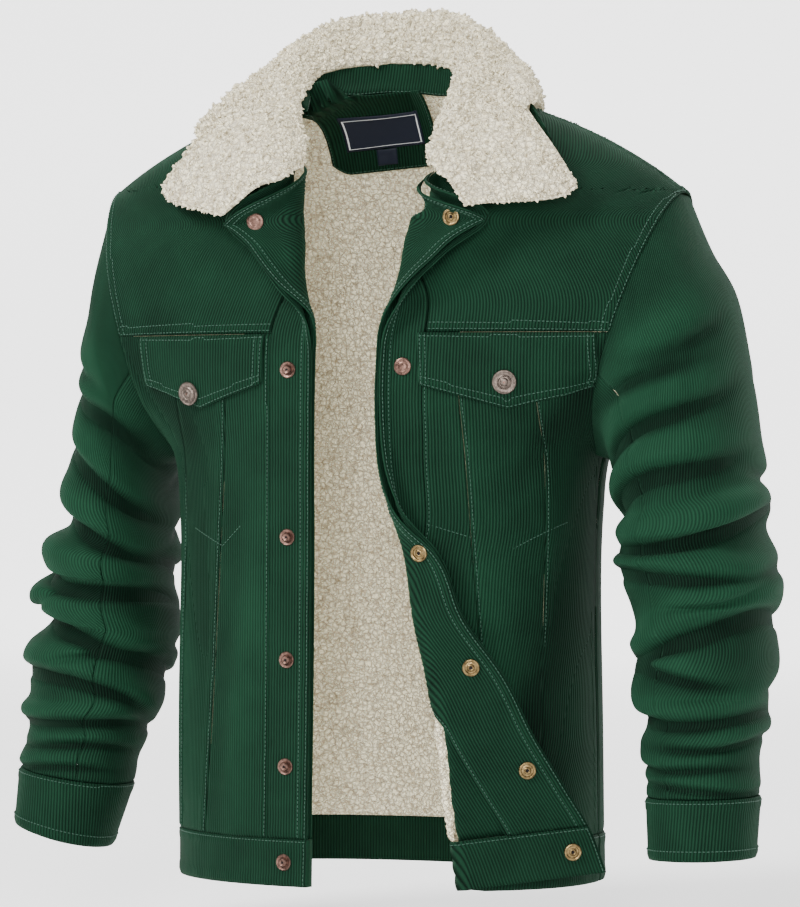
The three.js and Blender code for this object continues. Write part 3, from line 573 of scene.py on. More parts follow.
def pebbles(u, v, size, seed, stretch=1.25):
    """Height of clumped pile, 0 in the partings and 1 on the tips, from jittered cells."""
    lottery = np.random.RandomState(seed)
    jitter = lottery.rand(64, 64, 4)
    a = u / size
    b = v / (size * stretch)
    i, j = np.floor(a).astype(int), np.floor(b).astype(int)
    first = np.full(u.shape, 9.0)
    second = np.full(u.shape, 9.0)
    tall = np.ones(u.shape)
    for di in (-1, 0, 1):
        for dj in (-1, 0, 1):
            cell = jitter[(i + di) % 64, (j + dj) % 64]
            da = a - (i + di + cell[..., 0])
            db = b - (j + dj + cell[..., 1])
            lean = (cell[..., 2] - 0.5) * 1.4
            away = np.sqrt((da + lean * db) ** 2 + db ** 2 * 0.9)
            nearer = away < first
            second = np.where(nearer, first, np.minimum(second, away))
            tall = np.where(nearer, 0.7 + 0.3 * cell[..., 3], tall)
            first = np.where(nearer, away, first)
    parting = np.clip((second - first) / 0.55, 0, 1)
    return np.sqrt(parting) * tall


class Thread:
    """Stitches: short raised thread dashes laid along lines on the cloth."""
    def __init__(self):
        self.vertices = []
        self.faces = []

    def run(self, line, normals, lift=0.35, length=2.7, pitch=3.5, radius=0.42):
        steps = np.linalg.norm(np.diff(line, axis=0), axis=1)
        lengths = np.concatenate([[0], np.cumsum(steps)])
        starts = np.arange(1.5, lengths[-1] - length - 1, pitch)
        for start in starts:
            marks = np.array([start, start + length * 0.25, start + length * 0.75, start + length])
            middle = np.stack([np.interp(marks, lengths, line[:, k]) for k in range(3)], -1)
            up = np.stack([np.interp(marks, lengths, normals[:, k]) for k in range(3)], -1)
            up /= np.maximum(np.linalg.norm(up, axis=1, keepdims=True), 1e-6)
            ahead = middle[-1] - middle[0]
            aside = np.cross(up, ahead / max(np.linalg.norm(ahead), 1e-6))
            heights = np.array([lift - 0.5, lift, lift, lift - 0.5])[:, None]
            middle = middle + up * heights
            wide = np.array([0.45, 1, 1, 0.45])[:, None] * radius
            base = len(self.vertices)
            for turn in range(4):
                angle = math.pi / 2 * turn
                ring = middle + aside * math.cos(angle) * wide + up * math.sin(angle) * wide
                self.vertices.extend(ring.tolist())
            for turn in range(4):
                here, there = base + 4 * turn, base + 4 * ((turn + 1) % 4)
                for k in range(3):
                    self.faces.append((here + k, there + k, there + k + 1, here + k + 1))
            self.faces.append((base, base + 12, base + 8, base + 4))
            self.faces.append((base + 3, base + 7, base + 11, base + 15))

    def build(self, name):
        mesh = bpy.data.meshes.new(name)
        mesh.from_pydata((np.array(self.vertices) / 1000).tolist(), [], self.faces)
        mesh.polygons.foreach_set("use_smooth", [True] * len(mesh.polygons))
        obj = bpy.data.objects.new(name, mesh)
        bpy.context.scene.collection.objects.link(obj)
        close_round(obj, False)
        return obj


topstitching = Thread()


class Socket:
    """A shader value whose Python operators add Math nodes."""
    def __init__(self, finish, output):
        self.finish = finish
        self.output = output

    def maths(self, operation, *others):
        inputs = dict(enumerate((self,) + others))
        return self.finish.node("ShaderNodeMath", {"operation": operation}, inputs)

    def __add__(self, other):
        return self.maths("ADD", other)

    __radd__ = __add__

    def __sub__(self, other):
        return self.maths("SUBTRACT", other)

    def __rsub__(self, other):
        return (self * -1) + other

    def __mul__(self, other):
        return self.maths("MULTIPLY", other)

    __rmul__ = __mul__

    def __truediv__(self, other):
        return self.maths("DIVIDE", other)

    def __pow__(self, other):
        return self.maths("POWER", other)


class Finish:
    def __init__(self, name):
        self.material = bpy.data.materials.new(name)
        self.material.use_nodes = True
        self.tree = self.material.node_tree
        self.shader = self.tree.nodes["Principled BSDF"]

    def node(self, kind, settings=None, inputs=None, output=0):
        made = self.tree.nodes.new(kind)
        for key, value in (settings or {}).items():
            setattr(made, key, value)
        for key, value in (inputs or {}).items():
            self.feed(made.inputs[key], value)
        return Socket(self, made.outputs[output])

    def feed(self, socket, value):
        if isinstance(value, Socket):
            self.tree.links.new(value.output, socket)
        else:
            socket.default_value = value

    def set(self, **values):
        for key, value in values.items():
            self.feed(self.shader.inputs[key.replace("_", " ")], value)

    def blend(self, share, low, high):
        inputs = {0: share, 6: (*low, 1) if isinstance(low, tuple) else low,
                  7: (*high, 1) if isinstance(high, tuple) else high}
        return self.node("ShaderNodeMix", {"data_type": "RGBA"}, inputs, output=2)

    def cloth_place(self):
        uv = self.node("ShaderNodeUVMap", {"uv_map": "cloth"})
        parts = self.tree.nodes.new("ShaderNodeSeparateXYZ")
        self.feed(parts.inputs[0], uv)
        return uv, Socket(self, parts.outputs[0]), Socket(self, parts.outputs[1])

    def noise(self, where, scale, detail=2, roughness=0.5):
        return self.node("ShaderNodeTexNoise", {}, {"Vector": where, "Scale": scale, "Detail": detail,
                                                     "Roughness": roughness})

    def colour_noise(self, where, scale):
        return self.node("ShaderNodeTexNoise", {}, {"Vector": where, "Scale": scale, "Detail": 1}, output=1)

    def own_place(self):
        return self.node("ShaderNodeTexCoord", output=3)

    def bump(self, height, distance, strength=1):
        return self.node("ShaderNodeBump", {}, {"Height": height, "Distance": distance,
                                                "Strength": strength})


def corduroy_finish(name, ridge, valley):
    finish = Finish(name)
    uv, across, _ = finish.cloth_place()
    wander = finish.noise(uv, 0.05, 2) * 0.5
    phase = (across + wander) * (2 * math.pi / WALE)
    rib = phase.maths("COSINE") * 0.5 + 0.5
    pile = rib ** 0.7
    tufts = finish.noise(uv, 1.6, 3, 0.65)
    cloud = finish.noise(uv, 0.018, 3)
    rubbed = finish.noise(finish.own_place(), 55, 3)
    # The 'depth' attribute is painted shade: darker in crease troughs and seam dips, lighter on crests and seam
    # puffs
    depth = finish.node("ShaderNodeAttribute", {"attribute_name": "depth"}, output=2)
    # In the tone the rib valleys go dark and the ridges light: painted shade between the wales, beside the
    # bump; the noises are the cloth's own uneven tone
    tone = pile * 0.62 + tufts * 0.30 + cloud * 0.36 + rubbed * 0.2 + depth * 0.7 - 0.72
    tone = finish.node("ShaderNodeClamp", {}, {0: tone})
    colour = finish.blend(tone, valley, ridge)
    finish.set(Base_Color=colour, Roughness=tufts * 0.2 + 0.7,
               Normal=finish.bump(pile + tufts * 0.3, 0.0006, 0.75))
    shader = finish.shader.inputs
    shader["Sheen Weight"].default_value = 0.06
    shader["Sheen Roughness"].default_value = 0.4
    shader["Sheen Tint"].default_value = (0.25, 0.72, 0.42, 1)
    shader["Specular IOR Level"].default_value = 0.06
    return finish.material


# crevice weighs the painted shade in the partings between clumps; tip and root are the light and dark ends of a
# tone that is mostly painted shade and painted highlight
def sherpa_finish(name, tip, root, clump, crevice):
    finish = Finish(name)
    place = finish.own_place()
    # The 'depth' attribute is painted shade: the collar's clumps darker in the partings and lighter on the
    # tips, the curls darker at their base
    depth = finish.node("ShaderNodeAttribute", {"attribute_name": "depth"}, output=2)
    curls = finish.noise(place, 900, 3, 0.7)
    cloud = finish.noise(place, 30, 2)
    wander = finish.noise(place, 210, 2, 0.6)
    bent = finish.node("ShaderNodeVectorMath", {"operation": "MULTIPLY_ADD"},
                       {0: finish.colour_noise(place, 260), 1: (0.006, 0.006, 0.006), 2: place})
    cells = {"Vector": bent, "Scale": clump}
    gap = finish.node("ShaderNodeTexVoronoi", {"feature": "DISTANCE_TO_EDGE"}, cells)
    centre = finish.node("ShaderNodeTexVoronoi", {"feature": "F1"}, cells)
    # Bead: a painted highlight at each clump's centre, also used in the bump
    bead = 1 - centre * centre * 1.3
    # Parted: painted shade in the partings between clumps, also used in the bump
    parted = finish.node("ShaderNodeClamp", {}, {0: gap * 6.5 + wander * 1.3 - 0.62})
    tone = finish.node("ShaderNodeClamp", {}, {0: parted * crevice + bead * 0.35 + depth * (0.7 - crevice)
                                               + curls * 0.3 + cloud * 0.15 - 0.2})
    colour = finish.blend(tone, root, tip)
    relief = bead + parted * 0.5 + curls * 0.45
    # The pile also glows in its own colour: painted light that brightens the lining and collar beyond what the
    # lamps give
    finish.set(Base_Color=colour, Roughness=0.95, Normal=finish.bump(relief, 0.005, 1.0),
               Emission_Color=colour, Emission_Strength=0.36)
    shader = finish.shader.inputs
    shader["Sheen Weight"].default_value = 0.35
    shader["Sheen Roughness"].default_value = 0.6
    shader["Specular IOR Level"].default_value = 0.1
    return finish.material


def metal_finish(name, bright, dark, rough):
    finish = Finish(name)
    place = finish.own_place()
    patina = finish.node("ShaderNodeClamp", {}, {0: finish.noise(place, 420, 4, 0.6) * 2.2 - 0.6})
    scratches = finish.noise(place, 2600, 2)
    finish.set(Base_Color=finish.blend(patina, dark, bright), Roughness=scratches * 0.2 + rough,
               Metallic=1.0, Normal=finish.bump(scratches, 0.0001, 0.4))
    return finish.material


def thread_finish():
    finish = Finish("topstitch thread")
    twist = finish.noise(finish.own_place(), 1800, 2)
    finish.set(Base_Color=finish.blend(twist, (0.006, 0.032, 0.018), (0.013, 0.062, 0.037)), Roughness=0.6)
    return finish.material


def label_finish(name, width, height, border):
    finish = Finish(name)
    _, across, along = finish.cloth_place()
    weave = (across * 9).maths("SINE") * (along * 9).maths("SINE") * 0.5 + 0.5
    side = (across - width / 2).maths("ABSOLUTE") / (width / 2 - 2.6)
    upright = (along - height / 2).maths("ABSOLUTE") / (height / 2 - 2.6)
    frame_line = side.maths("MAXIMUM", upright)
    near = (frame_line - 1).maths("ABSOLUTE").maths("LESS_THAN", 0.018)
    cloth = finish.blend(weave, (0.003, 0.005, 0.011), (0.011, 0.015, 0.028))
    finish.set(Base_Color=finish.blend(near * border, cloth, (0.62, 0.64, 0.66)), Roughness=0.5,
               Normal=finish.bump(weave, 0.0001, 0.5))
    finish.shader.inputs["Specular IOR Level"].default_value = 0.15
    return finish.material


# Corduroy ridge colour is the lit top of the wales, the valley colour the painted shade between them
CORDUROY = corduroy_finish("green corduroy", (0.0066, 0.034, 0.0168), (0.0003, 0.0032, 0.0015))
# Pile tip and root colours: the light and dark ends of a tone that is mostly painted shade in the partings and
# painted highlight on the clumps
LINING_PILE = sherpa_finish("sherpa lining pile", (1.0, 0.91, 0.62), (0.42, 0.31, 0.15), 255, 0.7)
COLLAR_FLEECE = sherpa_finish("sherpa collar pile", (0.97, 0.885, 0.62), (0.50, 0.39, 0.21), 190, 0.25)
COPPER = metal_finish("antique copper", (0.21, 0.12, 0.095), (0.03, 0.018, 0.014), 0.3)
BRASS = metal_finish("worn brass ring", (0.27, 0.19, 0.085), (0.05, 0.032, 0.014), 0.25)
BLACK_METAL = metal_finish("blackened metal", (0.02, 0.018, 0.018), (0.005, 0.004, 0.004), 0.4)
PEWTER = metal_finish("pewter", (0.20, 0.16, 0.135), (0.04, 0.031, 0.027), 0.36)
THREAD = thread_finish()


def dress(obj, material, slot_name, *nodes):
    obj.data.materials.append(material)
    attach(obj, "root")
    if nodes:
        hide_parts(*nodes)


def declare(obj, shown, rests_on):
    """The piece's flat cut, measured along its own cloth."""
    sides = np.linalg.norm(np.diff(shown, axis=1), axis=2).sum(axis=1)
    lengths = np.linalg.norm(np.diff(shown, axis=0), axis=2).sum(axis=0)
    width, length = float(np.mean(sides)) / 1000, float(np.mean(lengths)) / 1000
    flat_sizes[obj.name] = (round(width, 3), round(length, 3))
    list(rests_on)


flat_sizes = {}


def front_grid(side, from_edge, to_edge, heights, step):
    """Points of a front between two distances from its free edge, at each column's heights."""
    middle = heights(0.5)
    width = max(to_edge(z) - from_edge(z) for z in (middle[0], middle[len(middle) // 2], middle[-1]))
    columns = max(int(width / step) + 1, 6)
    shares = np.linspace(0, 1, columns)
    height_grid = np.stack([heights(u) for u in shares], axis=1)
    points = np.zeros(height_grid.shape + (3,))
    distance = np.zeros_like(height_grid)
    for j in range(height_grid.shape[0]):
        for i in range(columns):
            z = height_grid[j, i]
            near, far = from_edge(z), to_edge(z)
            distance[j, i] = near + (far - near) * shares[i]
            points[j, i] = front_point(side, distance[j, i], z)
    return points, distance, height_grid


def even_heights(low, high, step):
    rows = max(int((high - low) / step) + 1, 4)
    levels = np.round(np.linspace(low, high, rows), 2)
    return lambda u: levels


def borders(points):
    """Distance of each grid point from the four borders, measured along the cloth."""
    along = np.linalg.norm(np.diff(points, axis=1), axis=2)
    up = np.linalg.norm(np.diff(points, axis=0), axis=2)
    zero_column = np.zeros((points.shape[0], 1))
    zero_row = np.zeros((1, points.shape[1]))
    left = np.concatenate([zero_column, np.cumsum(along, axis=1)], axis=1)
    bottom = np.concatenate([zero_row, np.cumsum(up, axis=0)], axis=0)
    return {"near": left, "far": left[:, -1:] - left, "low": bottom, "high": bottom[-1:] - bottom}


def stitch_along(shown, normals, away, border, lines):
    """Lays stitching on the shown face at set distances from one border."""
    for line in lines:
        if border in ("near", "far"):
            rows = np.arange(shown.shape[0])
            pick = np.argmin(np.abs(away[border] - line), axis=1)
            topstitching.run(shown[rows, pick], normals[rows, pick])
        else:
            columns = np.arange(shown.shape[1])
            pick = np.argmin(np.abs(away[border] - line), axis=0)
            topstitching.run(shown[pick, columns], normals[pick, columns])


def lapel_pad(side, z):
    return LAPEL_PAD * np.clip(np.minimum((z + 130) / 20, (GORGE_Z[side] + 6 - z) / 10), 0, 1)


def cloth_piece(name, points, u, v, flip, seams, stitches, creases=None, offset=0.2, thick=CLOTH,
                turned=False, wrap=False, rests_on=(), seed=1.0, skip=2):
    """A corduroy piece: seams sunk and puffed, stitching, creases, and its closed wall."""
    normals = normals_of(points, flip, wrap)
    away = borders(points)
    relief = np.zeros_like(u) if creases is None else creases.copy()
    for border in ("near", "far", "low", "high"):
        if border in ("near", "far") and (wrap or not seams):
            continue
        relief += edge_dip(away[border])
    for border, kind in seams.items():
        along = v if border in ("near", "far") else u
        if kind == "double":
            relief += stitched_seam(away[border])
        elif kind == "single":
            relief += stitched_seam(away[border], (2.0,))
        relief += pucker(away[border], along, seed + len(border))
    if turned:
        shown = points - normals * (offset + thick)[..., None] - normals * relief[..., None]
        hidden = points - normals * offset[..., None]
        face = -normals
    else:
        shown = points + normals * (offset + thick + relief)[..., None]
        hidden = points + normals * np.full_like(u, offset)[..., None]
        face = normals
    # Painted shade: crease troughs, seam dips and stitch lines darker, crests and puffed seam allowances
    # lighter, taken from the relief
    shade = np.clip(0.5 + (relief if creases is None else relief + creases) / 15, 0, 1)
    obj = wall_mesh(name, shown, hidden, np.stack([u, v], -1), skip, wrap, shade)
    for border, lines in stitches.items():
        stitch_along(shown, face, away, border, lines)
    dress(obj, CORDUROY, "corduroy", name)
    declare(obj, shown, rests_on)


def pile_piece(name, points, u, v, normals, start, deep, size, tall, material, slot_name, seed, skip=6,
               rests_on=(), rim=5):
    """A sherpa piece: a wall whose shown face is raised in clumps that thin out at its rim."""
    away = borders(points)
    nearest = np.min(list(away.values()), axis=0)
    clumps = (pebbles(u, v, size, seed) * 0.78
              + pebbles(u + 31, v - 17, size * 0.48, seed + 5, 1.0) * 0.22)
    rounding = np.sqrt(np.clip(nearest / rim, 0, 1))
    height = (deep - tall * 0.6) * (0.5 + 0.5 * rounding) + tall * clumps * (0.35 + 0.65 * rounding)
    if slot_name == "sherpa_lining":
        height *= 1 - 0.8 * np.clip((points[..., 2] + 90) / 30, 0, 1) * np.exp(-away["near"] / 16)
    shown = points + normals * (start + height)[..., None]
    hidden = points + normals * start[..., None]
    # The clump heights also go out as painted shade: the collar's finish darkens the partings and lightens the
    # tips
    obj = wall_mesh(name, shown, hidden, np.stack([u, v], -1), skip, painted_shade=clumps)
    dress(obj, material, slot_name, name)
    declare(obj, shown, rests_on)
    return shown


def rounding_rows(rows):
    """Rows that draw closer together where the cloth rounds over the shoulder."""
    even = np.linspace(0, 1, rows)
    close = 1 - (1 - even) ** 2.2
    share = np.clip((even - 0.55) / 0.45, 0, 1) ** 2
    return even * (1 - share) + close * share


# Fronts
def column_heights(side, low, from_edge, to_edge, step):
    """Rows that run from a level seam up to the shoulder seam."""
    def heights(u):
        def place_x(z):
            a = from_edge(z) + (to_edge(z) - from_edge(z)) * u
            return front_point(side, a, z)[0]
        top = seam_top(place_x, shoulder_height) - SHOULDER_SEAM
        rows = max(int((NECK_Z - low) / step) + 1, 6)
        return low + (top - low) * rounding_rows(rows)
    return heights


def gorge_share(side, z):
    return min(max((GORGE_Z[side] - z) / 44, 0.03), 1)


def front_creases(points):
    rows = [row for row in BODY_CREASES if row["face"] == "front"]
    return crease_field(rows, points[..., 0], points[..., 2], "x") * 1.3


def make_front(side):
    def width(z):
        return FrontPlan.at(side, z).total

    def placket_line(z):
        return PLACKET * gorge_share(side, z)

    def facing_line(z):
        return FACING * gorge_share(side, z)

    def seam_line(which):
        return lambda z: FrontPlan.at(side, z).from_edge_at(read_row(PANEL_SEAMS[side], "z", which, z))

    def shifted(line, gap):
        return lambda z: line(z) + gap

    inner, outer = seam_line("inner"), seam_line("outer")
    low, yoke = BAND_TOP_Z + SEAM_LINE, YOKE_FRONT_Z
    flip = side == "R"
    long_rows = even_heights(low, yoke - SEAM_LINE, 2.6)
    strip_rows = even_heights(low, GORGE_Z[side], 2.6)
    step = 2.2

    def cloth(part, near, far, heights, seams, stitches, **more):
        points, u, v = front_grid(side, near, far, heights, step)
        creases = front_creases(points) * np.clip((u - 20) / 20, 0, 1)
        cloth_piece(f"{part}_{side}", points, u, v, flip, seams, stitches, creases,
                    rests_on=["front_yoke_" + side] if part != "front_yoke" else [], **more)

    cloth("placket", lambda z: 0, placket_line, strip_rows, {"near": "double", "far": "plain"},
          {"near": TWIN_LINES})
    cloth("front_centre", shifted(placket_line, SEAM_LINE), shifted(inner, -SEAM_LINE), long_rows,
          {"near": "single", "far": "plain", "high": "plain"}, {"near": (2.0,)})
    cloth("front_middle", inner, outer, long_rows, {"near": "single", "far": "plain"}, {"near": (2.0,)})
    cloth("front_side", shifted(outer, SEAM_LINE), width, long_rows, {"near": "single", "far": "single"},
          {"near": (2.0,)})
    yoke_edge = shifted(placket_line, 4 * SEAM_LINE)
    yoke_rows = column_heights(side, yoke, yoke_edge, width, 2.6)
    cloth("front_yoke", yoke_edge, width, yoke_rows, {"low": "double", "far": "double", "high": "single"},
          {"low": TWIN_LINES, "far": TWIN_LINES, "high": (2.2,)}, seed=2.3)
    make_facing(side, facing_line, strip_rows, flip)

    def lining_line(z):
        past_roll = FrontPlan.at(side, z).flap + 20 if z > -125 else 0
        return max(facing_line(z) + 2.8, past_roll)

    make_front_lining(side, lining_line, lambda z: min(map(width, (z - 14, z, z + 14))) - 9, flip)
    make_front_band(side, width, flip)
    make_pocket_flap(side, flip)
    stitch_pocket_bag(side, POCKET_BAGS[side])


def make_facing(side, facing_line, rows, flip):
    points, u, v = front_grid(side, lambda z: 0, facing_line, rows, 2.2)
    offset = FACING_GAP + lapel_pad(side, v)
    cloth_piece(f"facing_{side}", points, u, v, flip, {"near": "double", "far": "single"},
                {"near": TWIN_LINES, "far": (2.0,)}, offset=offset, turned=True,
                rests_on=[f"placket_{side}"], seed=3.1)


def make_front_lining(side, near, far, flip):
    step = 2.1
    heights = column_heights(side, BAND_TOP_Z + SEAM_LINE, near, far, step)
    points, u, v = front_grid(side, near, far, heights, step)
    normals = inward_normals(points, -normals_of(points, flip))
    pile_piece(f"lining_front_{side}", points, u, v, normals, np.full_like(u, LINING_GAP), PILE, 5.4, 2.6,
               LINING_PILE, "sherpa_lining", 11, rests_on=[f"front_centre_{side}"])


def make_front_band(side, width, flip):
    points, u, v = front_grid(side, lambda z: 0, width, even_heights(HEM_Z, BAND_TOP_Z, 1.7), 2.4)
    cloth_piece(f"band_front_{side}", points, u, v, flip,
                {"high": "double", "low": "single", "near": "single"}, {"high": (2.2,), "near": (2.2,)},
                offset=BAND_START, thick=BAND_WALL, rests_on=[f"front_centre_{side}"], seed=4.2, skip=1)
    normals = normals_of(points, flip)
    away = borders(points)
    for border in ("high", "near"):
        stitch_along(points + normals * BAND_START, -normals, away, border, (2.2,))


def make_pocket_flap(side, flip):
    flap = POCKET_FLAPS[side]
    columns, rows = 64, 30
    points = np.zeros((rows, columns, 3))
    distance = np.zeros((rows, columns))
    height = np.zeros((rows, columns))
    for j, down in enumerate(np.linspace(0, 1, rows)):
        for i, u in enumerate(np.linspace(0, 1, columns)):
            drop = flap["side"] + (flap["tip"] - flap["side"]) * (1 - abs(2 * u - 1))
            z = YOKE_FRONT_Z - 0.8 - drop * down
            x = flap["near"] + (flap["far"] - flap["near"]) * u - (2 * u - 1) * 2 * down
            distance[j, i] = FrontPlan.at(side, z).from_edge_at(min(x, edge_x(side, z) - 1))
            points[j, i] = front_point(side, distance[j, i], z)
            height[j, i] = z
    share = np.linspace(0, 1, rows)[:, None] * np.ones((1, columns))
    bulge = 1.6 * np.sin(math.pi * share * 0.8) + front_creases(points)
    u_share = np.linspace(0, 1, columns)[None, :]
    bulge += 0.5 * np.sin(u_share * 9) * share
    normals = normals_of(points, not flip)
    lifted = points + normals * bulge[..., None]
    cloth_piece(f"pocket_flap_{side}", lifted, distance, height, not flip,
                {"near": "double", "far": "double", "high": "double", "low": "single"},
                {"near": (2.2, 7.6), "far": (2.2, 7.6), "high": (2.2, 7.6), "low": (3.0,)},
                offset=0.2 + CLOTH + 0.4, rests_on=[f"front_middle_{side}"], seed=5.1)


def stitch_pocket_bag(side, places):
    """The pocket bag is stitched through the front in a shallow point below each flap."""
    line, normals = [], []
    for (x0, z0), (x1, z1) in zip(places[:-1], places[1:]):
        for share in np.linspace(0, 1, 24):
            x, z = x0 + (x1 - x0) * share, z0 + (z1 - z0) * share
            from_edge = FrontPlan.at(side, z).from_edge_at(x)
            at = front_point(side, from_edge, z)
            aside = front_point(side, from_edge - 1, z) - front_point(side, from_edge + 1, z)
            normal = unit(np.cross(aside, front_point(side, from_edge, z + 1) - at))
            normal = normal * (1 if normal[1] < 0 else -1)
            line.append(at + normal * (0.3 + CLOTH))
            normals.append(normal)
    topstitching.run(np.array(line), np.array(normals))


# Back
def back_grid(heights, step, inset=0.0):
    columns = int(BACK_SPAN / step)
    side = inset / BACK_SPAN
    shares = np.linspace(0, 1, columns)
    height_grid = np.stack([heights(u) for u in shares], axis=1)
    points = np.zeros(height_grid.shape + (3,))
    for j in range(height_grid.shape[0]):
        for i in range(columns):
            points[j, i] = back_point(side + (1 - 2 * side) * shares[i], height_grid[j, i])
    return points, height_grid


def back_limit(x):
    shoulder = float(shoulder_height(x))
    return min(shoulder, back_neck_height(x)) if abs(x) < NECK_X else shoulder


def back_column_heights(low, step):
    def heights(u):
        top = seam_top(lambda z: float(back_point(u, z)[0]), back_limit) - SHOULDER_SEAM
        rows = max(int((NECK_Z - low) / step) + 1, 6)
        return low + (top - low) * rounding_rows(rows)
    return heights


def back_creases(points):
    rows = [row for row in BODY_CREASES if row["face"] == "back"]
    return crease_field(rows, points[..., 0], points[..., 2], "x")


def across_length(points):
    steps = np.linalg.norm(np.diff(points, axis=1), axis=2)
    grown = np.concatenate([np.zeros((points.shape[0], 1)), np.cumsum(steps, axis=1)], axis=1)
    return grown - grown[:, -1:] / 2


def make_back():
    low = BAND_TOP_Z + SEAM_LINE
    flip = True
    panel, v = back_grid(even_heights(low, YOKE_BACK_Z - SEAM_LINE, 4), 4)
    cloth_piece("back_panel", panel, across_length(panel), v, flip, {"high": "plain", "near": "single"}, {},
                back_creases(panel), rests_on=["back_yoke"], seed=6.4)
    yoke, v = back_grid(back_column_heights(YOKE_BACK_Z, 3), 3)
    cloth_piece("back_yoke", yoke, across_length(yoke), v, flip,
                dict.fromkeys(("low", "near", "far"), "double"),
                dict.fromkeys(("low", "near", "far"), TWIN_LINES), back_creases(yoke) * 0.7, seed=7.7)
    band, v = back_grid(even_heights(HEM_Z, BAND_TOP_Z, 2.4), 3)
    cloth_piece("band_back", band, across_length(band), v, flip, {"high": "double", "low": "single"},
                {"high": (2.2,)}, offset=BAND_START, thick=BAND_WALL, rests_on=["back_panel"], seed=8.2, skip=1)
    make_back_lining(low)


def make_back_lining(low):
    points, v = back_grid(back_column_heights(low, 2.1), 2.1, inset=1.0)
    normals = inward_normals(points, -normals_of(points, True))
    pile_piece("lining_back", points, across_length(points), v, normals, np.full_like(v, LINING_GAP), PILE, 5.4,
               2.6, LINING_PILE, "sherpa_lining", 12, rests_on=["back_yoke"])


def inside_back_patch(name, left, right, low, high, tilt, corner, depth, thick, columns, rows):
    """A patch inside the back below the neck, lying on the pile or on another patch."""
    points = np.zeros((rows, columns, 3))
    u, v = np.meshgrid(np.linspace(0, 1, columns), np.linspace(0, 1, rows))
    rounding = corner * np.maximum(np.abs(2 * u - 1) - 0.7, 0) ** 2 / 0.09
    x = left + (right - left) * u
    lean = tilt * (x - (left + right) / 2)
    base = low + rounding + lean
    arch = 7 + 9 * (1 - ((x + 8) / 74) ** 2) if name == "neck_patch" else 0
    z = base + (high + lean + arch - base) * v
    for j in range(rows):
        for i in range(columns):
            points[j, i] = (x[j, i], float(body_y("back", x[j, i], z[j, i])), z[j, i])
    normals = normals_of(points, False)
    shown = points + normals * (depth + thick)
    if shown[rows // 2, columns // 2, 1] > points[rows // 2, columns // 2, 1]:
        normals = -normals
        shown = points + normals * (depth + thick)
    away = borders(points)
    rim = np.min(list(away.values()), axis=0)
    soft = 0.5 * np.sin(u * 7 + 1) * np.sin(v * 4 + 0.5)
    shown = shown + normals * (edge_dip(rim) * min(thick, 1) * 0.6 + soft)[..., None]
    hidden = points + normals * (depth + soft)[..., None]
    uv = np.stack([x - left, z - base[:1].min()], -1)
    if name != "neck_patch":
        uv = np.stack([x - left, v * (high - low)], -1)
    return wall_mesh(name, shown, hidden, uv, 1), shown, normals, away


def make_neck_patches():
    on_pile = LINING_GAP + PILE + 5.8
    on_patch = on_pile + CLOTH + 0.7
    patch, shown, normals, away = inside_back_patch("neck_patch", -82, 20, -30, 24, 0.05, 10, on_pile,
                                                    CLOTH, 70, 36)
    for border in ("low", "near", "far"):
        stitch_along(shown, normals, away, border, (2.4,))
    dress(patch, CORDUROY, "corduroy", "neck_patch")
    declare(patch, shown, ["lining_back"])
    label, shown, _, _ = inside_back_patch("neck_label", -68, 8, -8, 23, 0.05, 0, on_patch, 0.8, 60, 24)
    dress(label, label_finish("navy woven label", 76, 31, 1), "label_cloth", "neck_label")
    declare(label, shown, ["neck_patch"])
    tab, shown, _, _ = inside_back_patch("size_tab", -43, -25, -24, -9, 0.05, 0, on_patch, 0.6, 16, 12)
    dress(tab, label_finish("navy woven tab", 18, 15, 0), "label_cloth", "size_tab")
    declare(tab, shown, ["neck_patch"])


# Sleeves
def armhole_points(side, angles):
    top = float(shoulder_height(SHOULDER_X[side])) - 1
    points = []
    for angle in angles:
        z = ARMPIT_Z + (top - ARMPIT_Z) * (1 + math.cos(angle)) / 2
        x = edge_x(side, z)
        face = "front" if math.sin(angle) >= 0 else "back"
        points.append((sign(side) * (x - 1.2), float(body_y(face, x, z)), z))
    return np.array(points)


def sleeve_rings(side, angles):
    rings = [armhole_points(side, angles)]
    cosine, sine = np.cos(angles), np.sin(angles)
    wide = np.sign(cosine) * np.abs(cosine) ** 0.94
    deep = np.sign(sine) * np.abs(sine) ** 0.94
    for row in SLEEVES[side]:
        x = (row["out_x"] + row["in_x"]) / 2 + (row["out_x"] - row["in_x"]) / 2 * wide
        z = (row["out_z"] + row["in_z"]) / 2 + (row["out_z"] - row["in_z"]) / 2 * wide
        rings.append(np.stack([sign(side) * x, row["mid_y"] - row["deep"] * deep, z], -1))
    return np.array(rings)


def along_rings(rings, along):
    last = len(rings) - 1
    k = min(max(int(math.floor(along)), 0), last - 1)
    t = min(max(along - k, 0), 1)
    before = rings[k - 1] if k > 0 else 2 * rings[0] - rings[1]
    after = rings[k + 2] if k + 2 <= last else 2 * rings[last] - rings[last - 1]
    start_slope = (rings[k + 1] - before) / 2
    end_slope = (after - rings[k]) / 2
    return (rings[k] * (2 * t ** 3 - 3 * t ** 2 + 1) + start_slope * (t ** 3 - 2 * t ** 2 + t)
            + rings[k + 1] * (3 * t ** 2 - 2 * t ** 3) + end_slope * (t ** 3 - t ** 2))


def tube_place(points, zero_column):
    steps = np.linalg.norm(np.diff(points, axis=1), axis=2)
    u = np.concatenate([np.zeros((points.shape[0], 1)), np.cumsum(steps, axis=1)], axis=1)
    u = u - u[:, zero_column:zero_column + 1]
    rises = np.linalg.norm(np.diff(points, axis=0), axis=2)
    v = -np.concatenate([np.zeros((1, points.shape[1])), np.cumsum(rises, axis=0)], axis=0)
    return u, v


